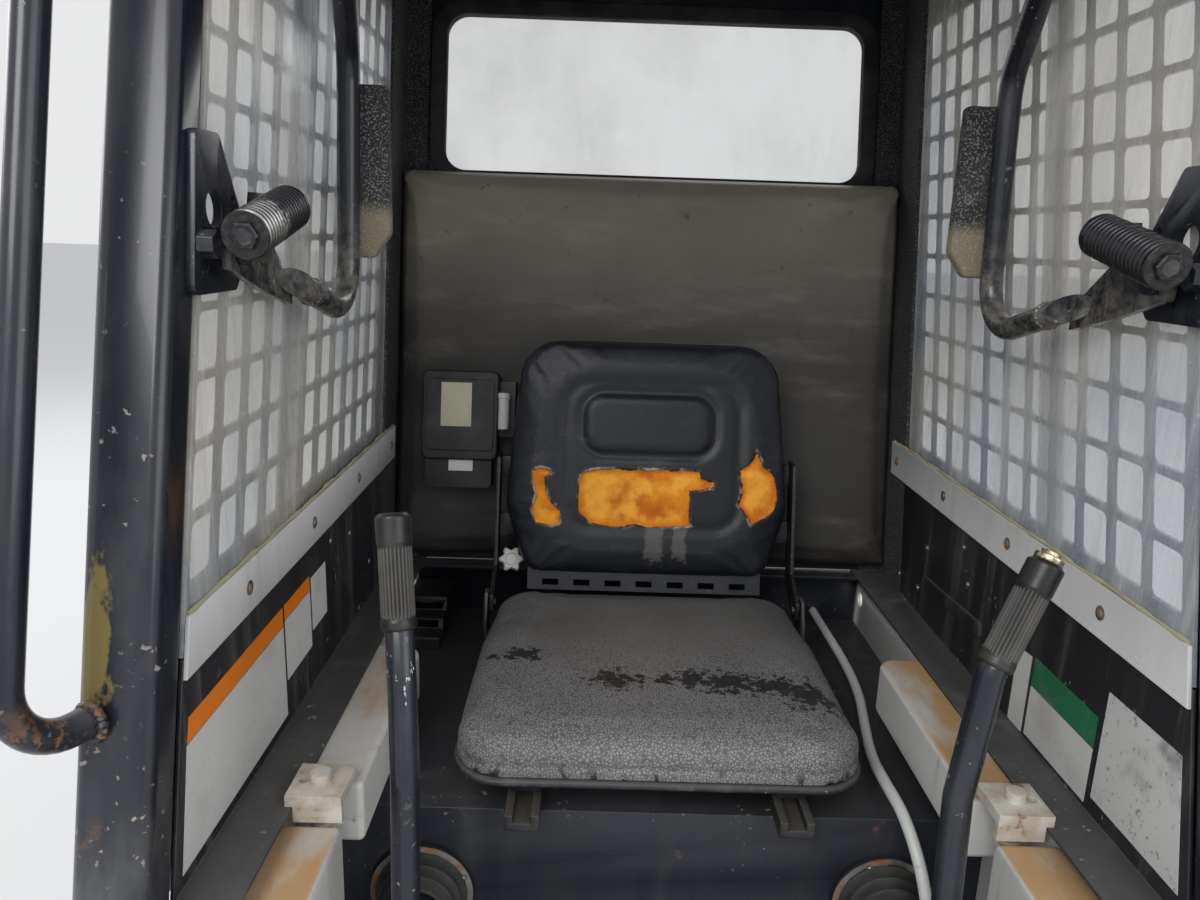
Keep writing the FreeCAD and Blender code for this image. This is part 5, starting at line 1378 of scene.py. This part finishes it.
def make_knob():
    """Star knob on its stem, turned towards the open front."""
    place = axis_frame((-0.2140, 0.260, 0.551), (0.12, -1.0, 0.42)) @ Matrix.Scale(1.5, 4, (0, 0, 1))
    lobes, steps = 6, 96
    levels = [(0.45, -0.0072), (0.62, -0.0078), (0.92, -0.0066), (1.0, -0.0040), (1.0, 0.0030),
              (0.94, 0.0062), (0.82, 0.0076), (0.58, 0.0078), (0.52, 0.0070), (0.48, 0.0056),
              (0.10, 0.0054)]

    def fill(bm):
        rings = []
        for share, height in levels:
            ring = []
            for step in range(steps):
                angle = 2 * math.pi * step / steps
                star = 0.0178 + 0.0030 * math.cos(lobes * angle) * smooth_step(share, 0.5, 0.9)
                radius = star * share
                ring.append(place @ Vector((radius * math.cos(angle), radius * math.sin(angle), height)))
            rings.append(ring)
        ring_stack(bm, rings)
        stem = [place @ Vector((0, 0, -0.0072)), place @ Vector((0, 0, -0.0110)),
                Vector((-0.2240, 0.2735, 0.5440)), Vector((-0.2355, 0.2750, 0.5430))]
        tube(bm, stem, 0.0052, 20)

    built("recline_knob_star", fill, finish(knob_plastic), "backrest", stands_for=("recline_knob",))


def make_relay():
    """Relay box on the rear wall: its lid, two blank plates and the stub barrel beside it."""
    dressed("relay_box", finish(box_plastic), 2.5 * MM, 3)
    front = rear_frame(-0.0926)

    def label(name, left, right, low_edge, high_edge, material, lift):
        def fill(bm):
            corners = [front @ Vector((x, -lift, z)) for x, z in
                       ((left, low_edge), (right, low_edge), (right, high_edge), (left, high_edge))]
            slab(bm, corners, 0.0006, front.to_3x3() @ Vector((0, -1, 0)))

        built(name, fill, material, "cab")

    def barrel(bm):
        place = front @ Matrix.Translation((-0.238, 0.0080, 0.7415))
        profile = [(0.0055, 0.0), (0.0088, 0.001), (0.0096, 0.004), (0.0096, 0.052), (0.0110, 0.053),
                   (0.0110, 0.060), (0.0080, 0.0625), (0.0050, 0.0635)]
        turned(bm, profile, place, 36)

    built("relay_barrel", barrel, finish(white_barrel), "cab")
    outline = rounded_corners(0.112, 0.118, 0.010)
    corners = [front @ Vector((-0.309 + x, 0.0005, 0.765 + z)) for x, z in outline]
    bm = bmesh.new()
    slab(bm, corners, 0.0035, front.to_3x3() @ Vector((0, -1, 0)))
    lid = eased(to_mesh("relay_cover", bm), 1.4 * MM, 3)
    own("relay_cover", lid, finish(box_plastic), "cab")
    label("relay_label", -0.340, -0.290, 0.746, 0.818,
          finish(sticker, "cream_label", colour(0.52, 0.49, 0.35), colour(0.36, 0.33, 0.24)), 0.0029)
    label("relay_plate", -0.327, -0.287, 0.672, 0.690,
          finish(sticker, "white_label", colour(0.62, 0.62, 0.60), colour(0.36, 0.35, 0.33)), -0.0080)


def rear_frame(out):
    """Placement on the rear wall: X across, Z up its slope, moved out along its normal."""
    turn = Matrix.Rotation(-REAR_RAKE, 4, "X")
    return Matrix.Translation((0, REAR_FOOT, 0)) @ turn @ Matrix.Translation((0, out, 0))


def side_patch(name, side, corners, material):
    """A blank label on a lining: corners are (y, z) in millimetres."""
    lift = 0.5 * MM
    face = side * (INNER_HALF - lift)

    def fill(bm):
        slab(bm, [(face, y * MM, z * MM) for y, z in corners], lift * 0.9, (side, 0, 0))

    built(name, fill, material, "cab")


def make_labels():
    """Blank labels on the linings, with their coloured bands."""
    white = finish(sticker, "white_label", colour(0.62, 0.62, 0.60), colour(0.36, 0.35, 0.33))
    worn = finish(sticker, "worn_label", colour(0.60, 0.60, 0.58), colour(0.10, 0.10, 0.095), 1.1)
    orange = finish(sticker, "orange_band", colour(0.82, 0.20, 0.008), colour(0.50, 0.20, 0.05))
    green = finish(sticker, "green_band", colour(0.010, 0.155, 0.068), colour(0.16, 0.24, 0.19), 0.6)
    side_patch("label_left_1", -1, [(-430, 515), (-166, 515), (-166, 624), (-404, 624)], white)
    side_patch("label_left_1_band", -1, [(-403, 625), (-166, 625), (-166, 647), (-397, 647)], orange)
    side_patch("label_left_2", -1, [(-160, 555), (-72, 555), (-72, 628), (-160, 628)], white)
    side_patch("label_left_2_band", -1, [(-160, 629), (-72, 629), (-72, 647), (-160, 647)], orange)
    side_patch("label_left_3", -1, [(-66, 573), (-8, 573), (-8, 642), (-66, 642)], white)
    side_patch("label_right_1", 1, [(-143, 506), (-109, 506), (-109, 600), (-143, 603)], white)
    side_patch("label_right_2", 1, [(-281, 509), (-150, 509), (-150, 570), (-281, 570)], white)
    side_patch("label_right_2_band", 1, [(-281, 571), (-150, 571), (-150, 606), (-281, 606)], green)
    side_patch("label_right_3", 1, [(-430, 522), (-291, 522), (-291, 640), (-402, 640)], worn)


def rivets(name, places, radius, material):
    """Single fasteners, each standing along Z of its placement."""
    bm = bmesh.new()
    for place in places:
        bm.from_mesh(moved(SCREWS.run(count=1, radius=radius, rise=0.002), place))
    mesh = bpy.data.meshes.new(name)
    bm.to_mesh(mesh)
    bm.free()
    own(name, mesh, material, "cab")


def fastener_row(name, start, end, out, material, slot=None, **sizes):
    """A level row of fasteners that stand out along X, to the right or the left."""
    turn = Matrix.Rotation(out * math.pi / 2, 4, "Y")
    start, end = (tuple(turn.inverted() @ Vector(spot)) for spot in (start, end))
    own(name, moved(SCREWS.run(start=start, end=end, **sizes), turn), material, "cab")


def make_fasteners():
    """Screws along the retainer strips, rivets on the linings, bolts on the outer plates."""
    for side_name, side in SIDES:
        x, z = side * (INNER_HALF - 0.004), 0.710
        fastener_row("strip_screws_" + side_name, (x, -0.260, z), (x, 0.359, z), -side,
                     finish(dull_steel), "rusty_steel", count=4, radius=0.0052, rise=0.0032)
    spots = {1: [(0.199, 0.613), (0.074, 0.659), (0.216, 0.541), (0.047, 0.615), (0.300, 0.532)],
             -1: [(0.210, 0.560), (0.110, 0.640), (0.020, 0.660)]}
    for side_name, side in SIDES:
        inwards = Matrix.Rotation(-side * math.pi / 2, 4, "Y")
        rivets("lining_rivets_" + side_name,
               [Matrix.Translation((side * INNER_HALF, y, z)) @ inwards for y, z in spots[side]],
               0.0038, finish(zinc))
    for side_name, side in SIDES:
        x, z = side * 0.448, 0.528
        fastener_row("plate_bolts_" + side_name, (x, pillar_back(z) + 0.030, z),
                     (x, rear_plane(z) - 0.020, z), side, finish(dark_hardware), count=7,
                     radius=0.0072, rise=0.0050)


def make_lining_bead():
    """Stiffening bead pressed into the right lining."""
    start, end = Vector((0.4305, -0.013, 0.572)), Vector((0.4305, 0.200, 0.559))
    along = (end - start).normalized()

    def fill(bm):
        line, radii = [], []
        for step in range(41):
            share = step / 40
            reach = (end - start).length * share
            near = min(reach, (end - start).length - reach) / 0.012
            line.append(start + along * reach)
            radii.append(0.0115 * math.sqrt(max(1 - (1 - min(near, 1)) ** 2, 0.002)))
        tube(bm, line, radii, 32)
        for vertex in bm.verts:
            vertex.co.x = start.x + (vertex.co.x - start.x) * 0.33

    built("lining_bead_right", fill, finish(panel_black), "cab")


def make_sealant():
    """Bead of old sealant between the strips and the panes."""
    for side_name, side in SIDES:
        z, steps = 0.7385, 90
        start, end = pillar_back(z) + 0.004, rear_plane(z) - 0.050
        line, radii = [], []
        for step in range(steps + 1):
            y = start + (end - start) * step / steps
            line.append(Vector((side * (INNER_HALF - 0.0012 + 0.0006 * math.sin(y * 71)), y,
                                z + 0.0007 * math.sin(y * 43 + 1))))
            radii.append(0.0020 + 0.0006 * math.sin(y * 97) + 0.0004 * math.sin(y * 231))
        built("sealant_" + side_name, lambda bm: tube(bm, line, radii, 10), finish(sealant), "cab")


# Hose

# Points that steer the hose's line, in millimetres
HOSE_ROUTE = [(317, 393.7, 421), (317.5, 326, 421), (326, 222, 412.3), (321, 112, 412.2),
              (302, 20, 412.3), (287, -60, 414), (280, -128, 426), (286, -194, 421),
              (298, -242, 368), (306, -256, 290), (309, -252, 205), (305, -262, 125),
              (294, -300, 56), (280, -362, 17), (270, -440, 13.2), (268, -520, 13.3)]


def make_hose():
    """Clear hose out of the rear plate, along the seat, over the riser's edge and onto the floor."""
    curve = bpy.data.curves.new("hose_line", "CURVE")
    curve.dimensions = "3D"
    curve.bevel_depth, curve.bevel_resolution = 7 * MM, 8
    curve.resolution_u = 24
    curve.use_fill_caps = True
    line = curve.splines.new("NURBS")
    line.points.add(len(HOSE_ROUTE) - 1)
    for point, (x, y, z) in zip(line.points, HOSE_ROUTE):
        point.co = (x * MM, y * MM, z * MM, 1)
    line.order_u = 3
    line.use_endpoint_u = True
    hose = bpy.data.objects.new("hose_line", curve)
    bpy.context.scene.collection.objects.link(hose)
    curve.materials.append(finish(milky_hose))
    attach(hose, "cab")
    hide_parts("hose")


# Floor and light

def area_light(name, spot, aim, size, power):
    light = bpy.data.lights.new(name, "AREA")
    light.shape, light.size, light.size_y = "RECTANGLE", size[0], size[1]
    light.energy = power
    lamp = bpy.data.objects.new(name, light)
    lamp.location = spot
    lamp.rotation_euler = (Vector(aim) - Vector(spot)).to_track_quat("-Z", "Y").to_euler()
    bpy.context.scene.collection.objects.link(lamp)


def make_surroundings():
    bm = bmesh.new()
    size, drop = 40, -0.0005
    corners = [bm.verts.new((x * size, y * size, drop)) for x, y in ((-1, -1), (1, -1), (1, 1), (-1, 1))]
    bm.faces.new(corners)
    mesh = bpy.data.meshes.new("floor")
    bm.to_mesh(mesh)
    bm.free()
    f = Finish("floor")
    f.done(colour(0.64, 0.64, 0.635), 0.85)
    mesh.materials.append(f.material)
    floor = bpy.data.objects.new("floor", mesh)
    bpy.context.scene.collection.objects.link(floor)
    world = bpy.data.worlds.new("world")
    world.use_nodes = True
    bpy.context.scene.world = world
    t = Tree(world.node_tree)
    world.node_tree.nodes.clear()
    seen, mirrored, through = (t.node("ShaderNodeLightPath", output=ray) for ray in (0, 3, 6))
    tint = t.node("ShaderNodeMix", {"data_type": "RGBA"},
                  {0: seen.most(mirrored).most(through), 6: colour(0.86, 0.88, 0.92),
                   7: colour(0.88, 0.885, 0.895)}, 2)
    sky = t.node("ShaderNodeBackground", {}, {"Color": tint, "Strength": 0.92})
    t.node("ShaderNodeOutputWorld", {}, (sky,))
    area_light("key", (-2.2, -4.4, 4.2), (0, 0, 0.8), (2.6, 2.6), 150)
    area_light("fill", (3.4, -3.0, 2.6), (0, 0, 0.8), (3.0, 3.0), 60)
    area_light("side", (-3.8, 1.8, 3.2), (0, 0, 0.9), (3.0, 3.0), 65)
    area_light("back", (1.6, 4.2, 3.4), (0, 0, 0.9), (3.0, 2.6), 70)
    bpy.context.scene.view_settings.view_transform = "Standard"


look_through()
make_hose()
make_shell()
make_tub()
make_bar()
make_soft()
make_seat_frame()
make_relay()
make_labels()
make_fasteners()
make_lining_bead()
make_sealant()
make_surroundings()
